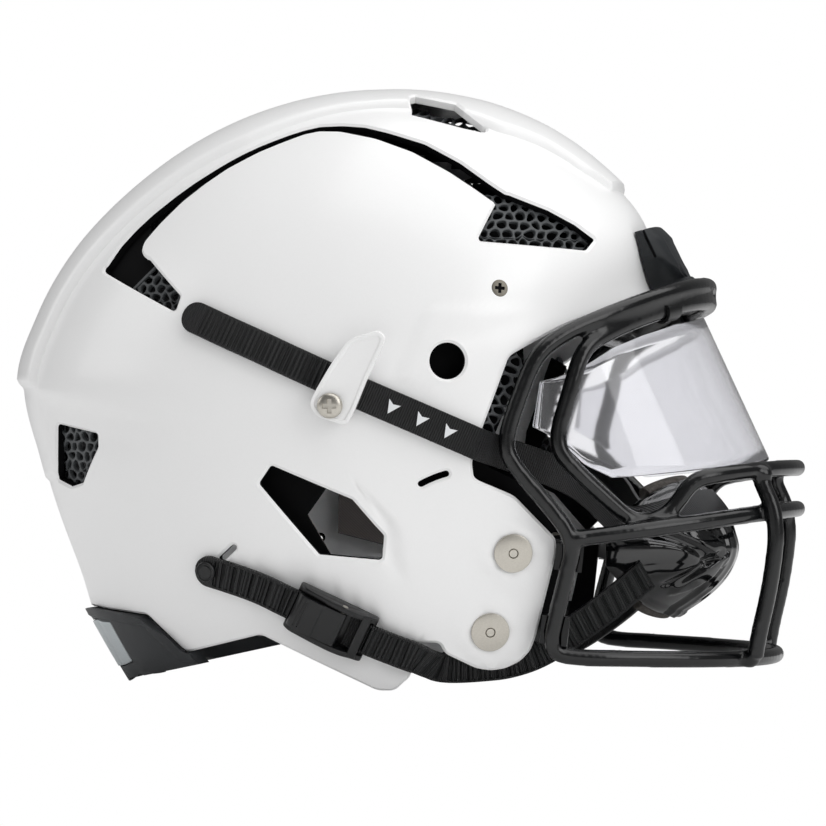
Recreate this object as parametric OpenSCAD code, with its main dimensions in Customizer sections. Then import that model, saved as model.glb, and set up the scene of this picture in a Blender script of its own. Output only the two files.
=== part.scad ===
// Football helmet with a wire face guard, a clear visor and a four-point chin strap.
// Millimetres. +X is forward, +Y is the wearer's left, +Z is up.
// The origin is on the floor, under the middle of the helmet and its guard.

/* [Shell] */
// Length of the shell from the brow to the back of its ridge
shell_length = 281; // [260:1:300]
// Width of the shell over the ears
shell_width = 240; // [222:1:258]
// Height of the shell from the jaw flaps to the crown
shell_height = 255.5; // [238:0.5:272]
// Wall of the shell
shell_wall = 3.6; // [3:0.1:4.4]
// Height of the raised band over the crown
ridge_height = 4; // [2:0.5:5.5]
// Diameter of the round port in front of the ear
port_dia = 15; // [10:0.5:18]
// Width of the two slits in the side wall
slit_width = 2.6; // [1.6:0.2:4]

/* [Bumpers] */
// Thickness of the brow plate at its upper edge
brow_plate_t = 6.5; // [4:0.5:8]
// Width of the brow plate
brow_plate_w = 66; // [50:1:76]
// Thickness of the nape bumper
nape_bumper_t = 6; // [4:0.5:9]
// Thickness of the grey insert in the nape bumper
insert_t = 1.6; // [1:0.2:2.4]

/* [Face guard] */
// Diameter of the coated guard wire
wire_dia = 6.8; // [5:0.2:7.4]

/* [Visor] */
// Thickness of the visor sheet
visor_t = 2.4; // [1.6:0.2:3]

/* [Liner] */
// Thickness of the crown and back pads
crown_pad_t = 24; // [14:1:28]
// Thickness of the brow pad
brow_pad_t = 17; // [10:1:22]
// Thickness of the side pads
side_pad_t = 21; // [12:1:25]
// Thickness of the jaw pads
jaw_pad_t = 20; // [12:1:26]

/* [Chin strap] */
// Width of every strap
strap_w = 12.8; // [10:0.2:13.6]
// Thickness of every strap
strap_t = 2.2; // [1.4:0.1:2.6]
// Wall of the chin cup
cup_wall = 2.8; // [2:0.1:3.6]
// Thickness of the foam in the chin cup
cup_foam_t = 6; // [4:0.5:8]

/* [Hardware] */
// Head diameter of the pan screw on each cam lever
pan_head_dia = 10.4; // [8:0.2:11]
// Diameter of the shoulder that each cam lever turns on
pan_shoulder_dia = 4.2; // [3.4:0.2:4.8]
// Thickness of the cam lever
lever_t = 4.4; // [3:0.2:6]
// Head diameter of the flat screws at the temples
flat_head_dia = 7.2; // [6:0.2:8.4]
// Diameter of the quick release caps
cap_dia = 15.9; // [13:0.1:17]
// Thickness of the quick release caps above the shell
cap_t = 1.2; // [0.8:0.1:2]
// Diameter of the pin in the middle of each cap
pin_dia = 3.6; // [2.6:0.1:4.6]
// Travel of the pin in each cap
pin_travel = 2; // [1:0.2:2.6]
// Diameter of the rivets at the rear of the ladder straps
rivet_dia = 8.6; // [7:0.2:10]
// Length of the ratchet buckle along its strap
ratchet_l = 35; // [30:0.5:40]
// Width of the ratchet buckle
ratchet_w = 20; // [18.4:0.2:24]
// Height of the ratchet buckle over the shell
ratchet_h = 9; // [7.6:0.2:11]

/* [Hidden] */

// The outlines below are drawn for a shell of this length, width and height
drawn = [281, 240, 255.5];
f = [shell_length / drawn[0], shell_width / drawn[1], shell_height / drawn[2]];
half_w = drawn[1] / 2;
// Middle of the ear side, from which the shell is drawn in rays
pole = [-20, 120];
first_ray = -75;
// Each ray's angle, its length to the middle plane, and how square the shell is along it
RAYS = [[-75, 250, 1.7], [-45, 250, 1.5], [-22, 220, 1.55], [0, 150, 1.9], [20, 137, 2.15],
    [32, 145.5, 2.2], [45, 143.5, 2.25], [75, 135, 2.25], [105, 129.4, 2.15], [135, 131, 2.1],
    [165, 141.2, 2.1], [176, 145.5, 2.1], [190, 140, 2.1], [205, 139.6, 2.1], [215, 144, 2.1],
    [230, 161.5, 2.05], [255, 205, 1.9], [285, 250, 1.7]];
// Half width and height of the ridge along its rays, the height as a share of ridge_height
RIDGE_HALF = [[38, 26], [44, 37], [52, 42], [60, 50], [76, 48], [90, 52], [110, 60], [160, 57], [195, 56]];
RIDGE_RISE = [[38, 0.85], [55, 1.08], [65, 1.1], [85, 0.82], [100, 0.95], [130, 1.02], [150, 1.17],
    [176, 1.1], [178, 0.32], [195, 0.3]];

// Side view of the shell, as [x, z], round the part that is kept
SHELL_EDGE = [[128, 172], [108.6, 167.5], [104.8, 163.4], [91, 156.5], [76, 149.3], [61, 140], [57, 137.4],
    [47, 109], [42.3, 94], [43, 88], [45, 86.4], [59, 80.3], [75, 63], [75.5, 59.7], [75, 55],
    [66.5, 22.3], [64.3, 16.5], [60, 12], [54, 9.1], [48.5, 8.3], [42.5, 9.2], [30, 15.5], [28, 20], [16, 20],
    [16, 6.3], [9, 0], [2, 0], [-41, 20.6], [-46, 23], [-80, 14.8], [-97, 29.5], [-98.5, 30.3],
    [-130, 32.6], [-142, 30], [-200, 30], [-200, 280], [128, 280]];
// Upper and lower edge of the crescent slot
SLOT = [[-119, 175.5], [-112, 183], [-103, 191.7], [-89, 204], [-76, 214.5], [-62, 222], [-49, 228.2],
    [-35, 233.3], [-28, 235.4], [-18, 235.5], [-8, 234.6], [2.5, 232], [18.5, 227], [34, 218.5],
    [46.5, 209.5], [54, 204.5], [49.2, 201.5], [41, 207.3], [30, 214.6], [14, 223.4], [-2, 229.4],
    [-18, 232.8], [-31, 233], [-44, 228], [-62, 220], [-76.5, 211], [-89, 201], [-101, 185.9],
    [-100.5, 181.5], [-96, 176.6], [-80, 163], [-82, 157]];
REAR_SLOT_VENT = [[-117.5, 175.5], [-82.7, 158.3], [-81.5, 162.5], [-97, 177.5]];
FRONT_VENT = [[51, 200], [54, 203.5], [69.5, 197.5], [80, 191.8], [87, 186.5], [85, 183.5], [45.5, 186.3]];
REAR_VENT = [[-139.5, 108.6], [-120, 104.8], [-120, 100.6], [-128.5, 86.6], [-134.3, 85.2], [-141.5, 87.5]];
JAW_VENT = [[-38.5, 91], [-42.5, 85.4], [-19, 57.7], [4.5, 55.6], [5.2, 63.6], [-6.5, 77.6]];
TOP_VENT = [[9, 249], [11, 242], [33, 236], [40, 234.5], [27, 245]];
top_vent_y = [27, 60];
REAR_SLIT = [[-61.4, 54.3], [-56, 58.9]];
FRONT_SLIT = [[22, 85.2], [32, 89.3]];
PORT = [33, 135.2];
window_corner = 1.5;

// Places of the hardware on the side wall, as [x, z]
UPPER_CAP = [58, 56.9];
LOWER_CAP = [48.2, 24.5];
FLAT_SCREW = [53, 165.2];
LEVER_PIVOT = [-13.4, 117.7];
RIVET = [-66.5, 49.8];
RATCHET = [-15.4, 29.6];
ratchet_turn = 26;

// Running gaps
run_gap = 0.05;
seat_gap = 0.3;
hole_gap = 0.25;
thin = 0.01;

// Routes of the guard wires from the middle plane round the wearer's right side
OUTER_LOOP = [[131, -8, 169.6], [129, -27, 168.8], [121.5, -49, 166.2], [108, -69, 160.6],
    [92.5, -83.5, 153.6],
    [78, -92.5, 146.5], [67.5, -98.5, 138], [61, -101.5, 121], [54.5, -103.5, 100.5], [61, -102, 90],
    [72, -100, 77.5], [83.5, -98, 62.5], [80, -97, 48], [76, -96, 33], [72.5, -95, 16.5], [83, -92, 14],
    [101, -86, 13.5], [132, -67.5, 12.4], [149, -47, 12], [157.5, -25, 11.8], [160, -8, 11.8]];
EYE_LOOP = [[131, -8, 162.7], [129, -27, 161.9], [121, -48.5, 159.4], [107.5, -67, 153.6], [97, -79, 148.3],
    [86, -90, 141.5], [81, -93.6, 123], [74.5, -95, 101.5], [83, -94.4, 91], [97, -88, 77.5],
    [103.5, -84.8, 71.3], [110, -81.5, 69.2], [117, -78.5, 71.2], [122.5, -76, 75.5], [129.5, -73, 86.5],
    [139, -69, 88.8], [156.5, -49, 91], [166, -26, 91.7], [169.1, -8, 91.8]];
MOUTH_BAR = [[85, -96.8, 63], [101, -92.2, 64.9], [118, -84.7, 67.3], [133, -75, 69.4], [148, -60, 71.6],
    [158, -46, 73], [166, -25, 74], [169.1, -8, 74.2]];
UPRIGHT = [[156.2, -49, 87.2], [159.6, -51.2, 80], [162, -52.2, 74], [163, -52.4, 64], [162.4, -52.4, 56],
    [160, -52, 40], [155.2, -51.3, 20], [153.6, -51, 8.5]];
head = [20, 0, 105];

// Routes of the straps on the wearer's right side, first on the shell as [x, z], then free as [x, y, z]
UPPER_ON = [[-76, 155], [-70, 152.6], [-58, 147.2], [-43.5, 141], [-30, 134.8], [-16, 128.6], [-1, 121.7],
    [11, 116.4], [22, 111.6], [32, 107.1], [39, 104]];
UPPER_FREE = [[46.2, -108.2, 100.8], [50.2, -100.6, 99.2], [55, -96.6, 97.4], [63, -91, 94.6],
    [71, -85.5, 91.4],
    [81, -75.5, 86.6], [88, -62.5, 80.4], [93, -49, 73.6], [97.5, -42, 69], [104, -39.6, 68]];
LADDER_ON = [[-71.5, 51.2], [-66.5, 49.8], [-58, 47.4], [-49.3, 44.6], [-43, 42.2]];
LOWER_FREE = [[10, -105, 17.2], [18.5, -103.2, 14], [23, -97.4, 11.4], [27, -91.4, 9.8], [34, -88.4, 9.5],
    [44, -85.6, 10.1], [54, -81.4, 11], [66, -76.2, 14.9], [78, -71, 22.6], [90, -60.5, 31.4],
    [98.5, -47.5, 38.6], [103.5, -39, 43.6], [107.5, -36, 47]];
// Point inside the head that the chin part of each strap looks away from
jaw = [44, 0, 26];

// Visor: plan reach and height of its edges along the wrap angle from the middle
visor_half = 86;
visor_back = [62, 66];
visor_tip = [156, 128];
visor_square = 2.3;
VISOR_CLIP = [[119.6, -49.3, 158.6], [115, -56.6, 156.8]];
VISOR_LOW = [[0, 95.5], [45, 91], [71, 87.5], [78, 93], [83, 102], [88.5, 108], [90, 110]];
VISOR_TOP = [[0, 156], [32, 151.5], [50, 146.5], [63, 141.5], [73, 134.5], [84, 129], [90, 127]];

// Chin cup: tip of its nose, half width and half height, and how far its rim lies behind the tip by
// the angle up from the side
cup_tip = [142.6, 57.5];
cup_half = [39, 29];
CUP_RIM = [[-90, 26], [-45, 41], [-15, 52], [15, 52], [45, 39], [90, 18]];

// Colours
white = [0.94, 0.94, 0.94];
black = [0.07, 0.07, 0.08];
charcoal = [0.17, 0.19, 0.2];
pale_grey = [0.66, 0.7, 0.71];
nickel = [0.72, 0.7, 0.66];
strap_black = [0.05, 0.06, 0.08];
foam = [0.36, 0.33, 0.31];
smoke = [0.86, 0.86, 0.9, 0.45];

// Arithmetic
function real(p) = [p[0] * f[0], p[1] * f[1], p[2] * f[2]];
function flip(p) = [p[0], -p[1], p[2]];
function unit(v) = v / norm(v);
function power(b, e) = b <= 0 ? 0 : pow(b, e);
function wrap(a) = a < first_ray ? a + 360 : a >= first_ray + 360 ? a - 360 : a;
function cycle(i) = i < 0 ? RAYS[len(RAYS) - 2] - [360, 0, 0]
    : i >= len(RAYS) ? RAYS[1] + [360, 0, 0] : RAYS[i];
function ray_before(a, i = 0) = i >= len(RAYS) - 2 || RAYS[i + 1][0] > a ? i : ray_before(a, i + 1);

// Length and squareness of the ray at angle a, smooth through the drawn rays
function ray(a) =
    let (w = wrap(a), i = ray_before(w), p = cycle(i - 1), q = cycle(i), r = cycle(i + 1), s = cycle(i + 2),
        h = r[0] - q[0], u = (w - q[0]) / h,
        m = (r - p) / (r[0] - p[0]) * h, k = (s - q) / (s[0] - q[0]) * h,
        v = (2 * u * u * u - 3 * u * u + 1) * q + (u * u * u - 2 * u * u + u) * m
            + (3 * u * u - 2 * u * u * u) * r + (u * u * u - u * u) * k)
    [v[1], v[2]];

// Point of the shell's outside: a turns about the ear, b runs from -90 at the right ear to 90 at the left
function skin(a, b) =
    let (r = ray(a), e = 2 / r[1], t = power(cos(b), e))
    real([pole[0] + r[0] * t * cos(a), sign(b) * half_w * power(abs(sin(b)), e),
        pole[1] + r[0] * t * sin(a)]);

// The same place moved along the surface's own normal, which points out of the head
function lift(s, a, b, d) =
    let (u = s(a + 0.5, b) - s(a - 0.5, b), v = s(a, b + 0.5) - s(a, b - 0.5))
    s(a, b) + d * unit(cross(v, u));
shell_skin = function (a, b) skin(a, b);
function over(a, b, d) = abs(b) > 89.4 ? skin(a, b) + [0, sign(b) * d, 0] : lift(shell_skin, a, b, d);

// Turn about the middle plane at which the shell along ray a reaches the half width y
function turn_at(a, y) = sign(y) * asin(min(1, power(abs(y) / half_w, ray(a)[1] / 2)));
// Ray and turn of a side view point [x, z]; side is -1 on the right and 1 on the left
function ray_of(p) = atan2(p[1] - pole[1], p[0] - pole[0]);
function turn_of(p, side) =
    let (r = ray(ray_of(p))) side * acos(min(1, power(norm(p - pole) / r[0], r[1] / 2)));
function on_wall(p, side, d = 0) = over(ray_of(p), turn_of(p, side), d);
function wall_normal(p, side) = unit(on_wall(p, side, 1) - on_wall(p, side, 0));

// Evenly spaced numbers from a to b
function steps(a, b, n) = [for (i = [0:n]) a + (b - a) * i / n];

// Smooth curve through the middles of a route's legs, with k pieces for each corner
function bend(p, q, r, k) = [for (i = [1:k]) let (u = i / k)
    (1 - u) * (1 - u) * (p + q) / 2 + 2 * u * (1 - u) * q + u * u * (q + r) / 2];
function curve(p, k) = [p[0], each [for (i = [1:len(p) - 2]) each bend(i == 1 ? 2 * p[0] - p[1] : p[i - 1],
    p[i], i == len(p) - 2 ? 2 * p[i + 1] - p[i] : p[i + 1], k)]];
function ring(p, k) = [for (i = [0:len(p) - 1]) each
    bend(p[(i + len(p) - 1) % len(p)], p[i], p[(i + 1) % len(p)], k)];
function reversed(p) = [for (i = [len(p) - 1:-1:0]) p[i]];
function both_sides(p) = [each p, each [for (q = reversed(p)) flip(q)]];

// Solid between an outer and an inner grid of points
module slab(outer, inner) {
    m = len(outer);
    n = len(outer[0]);
    function at(i, j) = i * n + j;
    in = m * n;
    faces = [
        for (i = [0:m - 2], j = [0:n - 2]) each [[at(i, j), at(i + 1, j), at(i + 1, j + 1)],
            [at(i, j), at(i + 1, j + 1), at(i, j + 1)],
            [in + at(i, j), in + at(i + 1, j + 1), in + at(i + 1, j)],
            [in + at(i, j), in + at(i, j + 1), in + at(i + 1, j + 1)]],
        for (i = [0:m - 2]) each [[at(i, 0), in + at(i, 0), at(i + 1, 0)],
            [at(i + 1, 0), in + at(i, 0), in + at(i + 1, 0)],
            [at(i, n - 1), at(i + 1, n - 1), in + at(i, n - 1)],
            [at(i + 1, n - 1), in + at(i + 1, n - 1), in + at(i, n - 1)]],
        for (j = [0:n - 2]) each [[at(0, j), at(0, j + 1), in + at(0, j)],
            [at(0, j + 1), in + at(0, j + 1), in + at(0, j)],
            [at(m - 1, j), in + at(m - 1, j), at(m - 1, j + 1)],
            [at(m - 1, j + 1), in + at(m - 1, j), in + at(m - 1, j + 1)]]];
    polyhedron([for (r = outer) each r, for (r = inner) each r], faces);
}

// Piece that lies on the surface s between the depths low and high, both functions of a and b
module layer(s, as, bs, low, high)
    slab([for (a = as) [for (b = bs) lift(s, a, b, high(a, b))]],
        [for (a = as) [for (b = bs) lift(s, a, b, low(a, b))]]);

// Closed body of the shell's shape, moved out by d
module body(d, na, nb) {
    bs = [for (j = [1:nb - 1]) -90 + 180 * j / nb];
    last = 1 + len(bs) * na;
    function at(i, j) = 1 + j * na + i % na;
    top = len(bs) - 1;
    polyhedron([over(0, -90, d),
            for (b = bs) each [for (i = [0:na - 1]) over(first_ray + 360 * i / na, b, d)],
            over(0, 90, d)],
        [for (i = [0:na - 1]) each [[0, at(i + 1, 0), at(i, 0)], [at(i, top), at(i + 1, top), last]],
        for (j = [0:top - 1], i = [0:na - 1]) each [[at(i, j), at(i + 1, j), at(i + 1, j + 1)],
            [at(i, j), at(i + 1, j + 1), at(i, j + 1)]]]);
}

// Swept solid: a section of [out, across] points carried along a route
function between(list, u) = let (k = u * (len(list) - 1), i = min(len(list) - 2, floor(k)))
    list[i] + (k - i) * (list[i + 1] - list[i]);
module sweep(route, section, middles, closed = false) {
    m = len(route);
    n = len(section);
    function along(i) = closed ? unit(route[(i + 1) % m] - route[(i + m - 1) % m])
        : unit(route[min(i + 1, m - 1)] - route[max(i - 1, 0)]);
    function outward(i) = let (t = along(i), o = route[i] - between(middles, i / (m - 1)))
        unit(o - (o * t) * t);
    points = [for (i = [0:m - 1]) let (o = outward(i), s = cross(along(i), o)) each
        [for (q = section) route[i] + q[0] * o + q[1] * s]];
    faces = [for (i = [0:closed ? m - 1 : m - 2], j = [0:n - 1])
        let (k = (i + 1) % m, l = (j + 1) % n) each [[i * n + j, k * n + j, k * n + l],
            [i * n + j, k * n + l, i * n + l]]];
    polyhedron(points, closed ? faces : [each faces, [for (j = [0:n - 1]) j],
        [for (j = [n - 1:-1:0]) (m - 1) * n + j]]);
}
function circle_section(r, n) = [for (i = [0:n - 1]) r * [cos(360 * i / n), sin(360 * i / n)]];
function strap_section(w, t) = [[t / 2, -w / 2], [t / 2, w / 2], [-t / 2, w / 2], [-t / 2, -w / 2]];

// Mirrors its children to the left side when side is 1
module sided(side) {
    if (side < 0) children();
    else mirror([0, 1, 0]) children();
}

// Moves its children to a place on the right wall, z along the wall's normal and x pointing forward
module at_wall(p, d = 0, turn = 0) {
    z = wall_normal(p, -1);
    x = unit([1, 0, 0] - (z * [1, 0, 0]) * z);
    y = cross(z, x);
    o = on_wall(p, -1, d);
    multmatrix([[x[0], y[0], z[0], o[0]], [x[1], y[1], z[1], o[1]], [x[2], y[2], z[2], o[2]]])
        rotate([0, 0, turn]) children();
}

// Window through both side walls with round corners at the drawn points
module window(points, ys = [-half_w - 10, half_w + 10])
    hull() for (p = points)
        translate([p[0] * f[0], ys[1] * f[1], p[1] * f[2]]) rotate([90, 0, 0])
            cylinder(r = window_corner, h = (ys[1] - ys[0]) * f[1], $fn = 16);

// Side view outline carried through both walls
module outline(points, margin = 0)
    rotate([90, 0, 0]) linear_extrude(2 * shell_width, center = true) offset(delta = margin)
        polygon([for (p = points) [p[0] * f[0], p[1] * f[2]]]);

// Raised band over the crown, sunk into the shell by its root
ridge_root = 1.5;
module ridge() {
    rows = [each steps(38.6, 176, 25), 178, 186, 194];
    shares = [[-1, 0.06], [-0.93, 0.9], [-0.5, 0.98], [0, 1], [0.5, 0.98], [0.93, 0.9], [1, 0.06]];
    slab([for (a = rows) [for (s = shares)
            over(a, turn_at(a, s[0] * lookup(a, RIDGE_HALF)), ridge_height * s[1] * lookup(a, RIDGE_RISE))]],
        [for (a = rows) [for (s = shares) over(a, turn_at(a, s[0] * lookup(a, RIDGE_HALF)), -ridge_root)]]);
}

module outer_shell() color(white) difference() {
    union() {
        intersection() {
            difference() {
                body(0, 64, 20);
                body(-shell_wall, 44, 16);
            }
            outline(SHELL_EDGE);
        }
        ridge();
    }
    outline(SLOT);
    window(REAR_SLOT_VENT);
    window(FRONT_VENT);
    window(REAR_VENT);
    window(JAW_VENT);
    window(TOP_VENT, [top_vent_y[0], top_vent_y[1]]);
    window(TOP_VENT, [-top_vent_y[1], -top_vent_y[0]]);
    slit(REAR_SLIT);
    slit(FRONT_SLIT);
    for (side = [-1, 1]) sided(side) {
        hole(PORT, port_dia);
        hole(UPPER_CAP, stem_dia + 2 * hole_gap);
        hole(LOWER_CAP, stem_dia + 2 * hole_gap);
        hole(FLAT_SCREW, flat_head_dia + 2 * hole_gap);
        hole(LEVER_PIVOT, pan_shank_dia + 2 * hole_gap);
        hole(RIVET, rivet_shank_dia + 2 * hole_gap);
    }
}
module slit(ends)
    hull() for (p = ends) translate([p[0] * f[0], shell_width, p[1] * f[2]]) rotate([90, 0, 0])
        cylinder(d = slit_width, h = 2 * shell_width, $fn = 16);
hole_run = 12;
module hole(p, dia) at_wall(p) translate([0, 0, -hole_run]) cylinder(d = dia, h = 2 * hole_run, $fn = 40);

// Sizes of the hardware that follow from the others
stem_dia = cap_dia * 0.55;
pan_shank_dia = pan_shoulder_dia * 0.7;
rivet_shank_dia = rivet_dia * 0.45;
nut_t = 3.2;
nut_dia = 11;
strap_gap = 2.6 * seat_gap;
strap_lift = strap_gap + strap_t / 2;
ratchet_wall = 2.4;
ratchet_floor = 1.6;
hinge_at = [3, 6.6];
hinge_dia = 2.4;
hinge_round = 2.2;
ratchet_strap = ratchet_floor + 2 * seat_gap + strap_t / 2;

// Brow plate, thin at its top edge and deep where it meets the guard
brow_plate_rays = [18.6, 30.4];
brow_plate_deep = 18.3;
BROW_DEPTH = [[0, 1], [0.45, 0.78], [0.86, 0.3], [1, 0]];
function brow_depth(a) = brow_plate_t + (brow_plate_deep - brow_plate_t)
    * lookup((a - brow_plate_rays[0]) / (brow_plate_rays[1] - brow_plate_rays[0]), BROW_DEPTH);
module brow_plate() color(charcoal) {
    rows = steps(brow_plate_rays[0], brow_plate_rays[1], 7);
    shares = [-1, -0.85, -0.6, -0.35, -0.1, 0.1, 0.35, 0.6, 0.85, 1];
    slab([for (a = rows) [for (s = shares) over(a, turn_at(a, s * brow_plate_w / 2),
            brow_depth(a) * (1 - 0.5 * power(abs(s), 9)))]],
        [for (a = rows) [for (s = shares) over(a, turn_at(a, s * brow_plate_w / 2), 2.4 * seat_gap)]]);
}

// Nape bumper: upper and lower ray of its edge against the turn from the middle plane
NAPE_TOP = [[0, 216.8], [20, 218.4], [35, 223.8], [42, 229], [49, 239.5], [50, 242]];
NAPE_LOW = [[0, 228], [29, 233], [39, 238], [50, 245.5]];
nape_proud = 2.4;
nape_tuck = 7;
// Lip that holds the bumper behind the shell, by share of its height and depth behind the wall
NAPE_LIP = [[-0.5, -0.9], [0.1, -0.9], [0.16, 1], [0.5, 0]];
lip_t = 3;
function nape_out(b, u) = nape_proud - nape_tuck * u * (1 - b * b / 2500);
function nape_ray(b, u) = lookup(abs(b), NAPE_TOP) * (1 - u) + lookup(abs(b), NAPE_LOW) * u;
module nape_bumper() color(charcoal) difference() {
    bs = steps(-49, 49, 14);
    us = steps(0, 1, 3);
    lip_turns = steps(-40, 40, 12);
    union() {
        difference() {
            slab([for (u = us) [for (b = bs) over(nape_ray(b, u), b, nape_out(b, u))]],
                [for (u = us) [for (b = bs) over(nape_ray(b, u), b, nape_out(b, u) - nape_bumper_t)]]);
            outline(SHELL_EDGE, seat_gap);
        }
        slab([for (r = NAPE_LIP) [for (b = lip_turns) over(nape_ray(b, r[0]), b, r[1] - shell_wall)]],
            [for (r = NAPE_LIP) [for (b = lip_turns) over(nape_ray(b, r[0]), b, -shell_wall - lip_t)]]);
    }
    translate([0, 0, -shell_height]) cube(2 * shell_height, center = true);
    nape_pocket(insert_t + seat_gap / 2);
}

// Grey insert let into the bumper's back, and its pocket
insert_turns = [-29, 29];
insert_share = [0.18, 0.82];
module nape_pocket(depth)
    slab([for (u = insert_share) [for (b = steps(insert_turns[0] - 0.4, insert_turns[1] + 0.4, 8))
            over(nape_ray(b, u), b, nape_out(b, u) + 1)]],
        [for (u = insert_share) [for (b = steps(insert_turns[0] - 0.4, insert_turns[1] + 0.4, 8))
            over(nape_ray(b, u), b, nape_out(b, u) - depth)]]);
module nape_insert() color(pale_grey)
    slab([for (u = insert_share) [for (b = steps(insert_turns[0], insert_turns[1], 8))
            over(nape_ray(b, u + (0.5 - u) * 0.05), b, nape_out(b, u) + 0.2)]],
        [for (u = insert_share) [for (b = steps(insert_turns[0], insert_turns[1], 8))
            over(nape_ray(b, u + (0.5 - u) * 0.05), b, nape_out(b, u) - insert_t)]]);

// Face guard
wire_sides = 10;
module wire(route, closed = false)
    color(black) sweep(route, circle_section(wire_dia / 2, wire_sides), [real(head), real(head)], closed);
module guard_outer_loop() wire(ring([for (p = both_sides(OUTER_LOOP)) real(p)], 2), true);
module guard_eye_loop() wire(ring([for (p = both_sides(EYE_LOOP)) real(p)], 2), true);
module guard_mouth_bar() wire(curve([for (p = both_sides(MOUTH_BAR)) real(p)], 3));
module guard_upright(side) sided(side) wire(curve([for (p = UPRIGHT) real(p)], 3));

// Clip that ties the guard to a quick release cap
clip_h = 11;
clip_t = 4;
clip_wall = 2.4;
clip_gap = 1.2;
// Places it passes behind the wall, and three points of the wire it holds
UPPER_CLIP = [[UPPER_CAP, [68, 56.5], [79, 56]],
    [[81.6, -98.1, 60], [81.75, -97.5, 55.25], [80.3, -97.1, 49.5]]];
LOWER_CLIP = [[LOWER_CAP, [60, 24.5], [71.6, 24.5]],
    [[75.7, -95.9, 31], [74.25, -95.5, 24.75], [74.25, -94.9, 19.5]]];
module clip_plate(p)
    at_wall(p, -shell_wall - clip_gap - clip_t) translate([-1, -clip_h / 2, 0])
        cube([2, clip_h, clip_t]);
module guard_clip(clip, side) color(black) sided(side) {
    path = clip[0];
    w = [for (p = clip[1]) real(p)];
    difference() {
        union() {
            at_wall(path[0], -shell_wall - clip_gap - clip_t) translate([-stem_dia * 0.8, -clip_h / 2, 0])
                cube([stem_dia * 0.8, clip_h, clip_t]);
            for (i = [0:1]) hull() {
                clip_plate(path[i]);
                clip_plate(path[i + 1]);
            }
            hull() {
                clip_plate(path[2]);
                rod(w[0], w[2], wire_dia * 0.8, 24);
            }
            rod(w[0], w[2], wire_dia + clip_wall * 2, 48);
        }
        at_wall(path[0], -hole_run) cylinder(d = stem_dia + 2 * hole_gap, h = 2 * hole_run, $fn = 40);
        rod(w[1] + 0.1 * (w[1] - w[0]), w[0] + 4 * (w[0] - w[1]), wire_dia + 3 * hole_gap, 48);
        rod(w[1] + 0.1 * (w[1] - w[2]), w[2] + 4 * (w[2] - w[1]), wire_dia + 3 * hole_gap, 48);
    }
}
module rod(a, b, dia, sides) {
    z = unit(b - a);
    x = unit(cross([0, 1, 0], z));
    y = cross(z, x);
    multmatrix([[x[0], y[0], z[0], a[0]], [x[1], y[1], z[1], a[1]], [x[2], y[2], z[2], a[2]]])
        cylinder(d = dia, h = norm(b - a), $fn = sides);
}

// Visor
function visor_point(w, u) =
    let (e = 2 / visor_square, z = lookup(abs(w), VISOR_LOW) * (1 - u) + lookup(abs(w), VISOR_TOP) * u,
        back = visor_back[0] * (1 - u) + visor_back[1] * u, tip = visor_tip[0] * (1 - u) + visor_tip[1] * u)
    real([back + (tip - back) * power(cos(w), e), sign(w) * visor_half * power(abs(sin(w)), e), z]);
visor_skin = function (u, w) visor_point(w, u);
function visor_over(u, w, d) =
    let (p = visor_point(w, min(1, u + 0.02)) - visor_point(w, max(0, u - 0.02)),
        q = visor_point(min(w + 1, 89), u) - visor_point(max(w - 1, -89), u))
    visor_point(w, u) + d * unit(cross(q, p));
visor_cols = 34;
function visor_turn(i) = 89 * (2 * i / visor_cols - 1);
module visor() color(smoke) {
    ws = [for (i = [0:visor_cols]) visor_turn(i)];
    us = steps(0, 1, 4);
    slab([for (u = us) [for (w = ws) visor_over(u, w, visor_t / 2)]],
        [for (u = us) [for (w = ws) visor_over(u, w, -visor_t / 2)]]);
}
// Clip that hangs the visor under the eye loop
module visor_clip(side) color(black) sided(side) {
    a = real(VISOR_CLIP[0]);
    b = real(VISOR_CLIP[1]);
    us = [0.75, 1, 1.04];
    ws = [for (i = [9:11]) visor_turn(i)];
    difference() {
        union() {
            rod(a, b, wire_dia + clip_wall * 1.4, 40);
            slab([for (u = us) [for (w = ws) visor_over(u, w, visor_t / 2 + clip_wall)]],
                [for (u = us) [for (w = ws) visor_over(u, w, visor_t / 2 + seat_gap)]]);
        }
        rod(a - 2 * (b - a), b + 2 * (b - a), wire_dia + 2 * hole_gap, 40);
        translate([0, 0, a[2] + 20.6]) cube([2 * shell_length, 2 * shell_width, 40], center = true);
    }
}

// Quick release caps and their pins
module release_caps() color(nickel) for (side = [-1, 1]) sided(side) for (p = [UPPER_CAP, LOWER_CAP])
    at_wall(p) difference() {
        union() {
            translate([0, 0, seat_gap]) cylinder(d = cap_dia, h = cap_t, $fn = 64);
            translate([0, 0, -stem_l]) cylinder(d = stem_dia, h = stem_l + seat_gap, $fn = 48);
        }
        translate([0, 0, -stem_l - 1]) cylinder(d = pin_dia + 2 * run_gap, h = stem_l + cap_t + 2, $fn = 40);
    }
stem_l = shell_wall + clip_t + clip_gap + seat_gap;
module release_pin(p, side) color(nickel) sided(side) at_wall(p)
    translate([0, 0, pin_travel + 0.4 - stem_l])
        cylinder(d = pin_dia, h = stem_l + seat_gap + cap_t - pin_travel - 0.2, $fn = 40);

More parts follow.
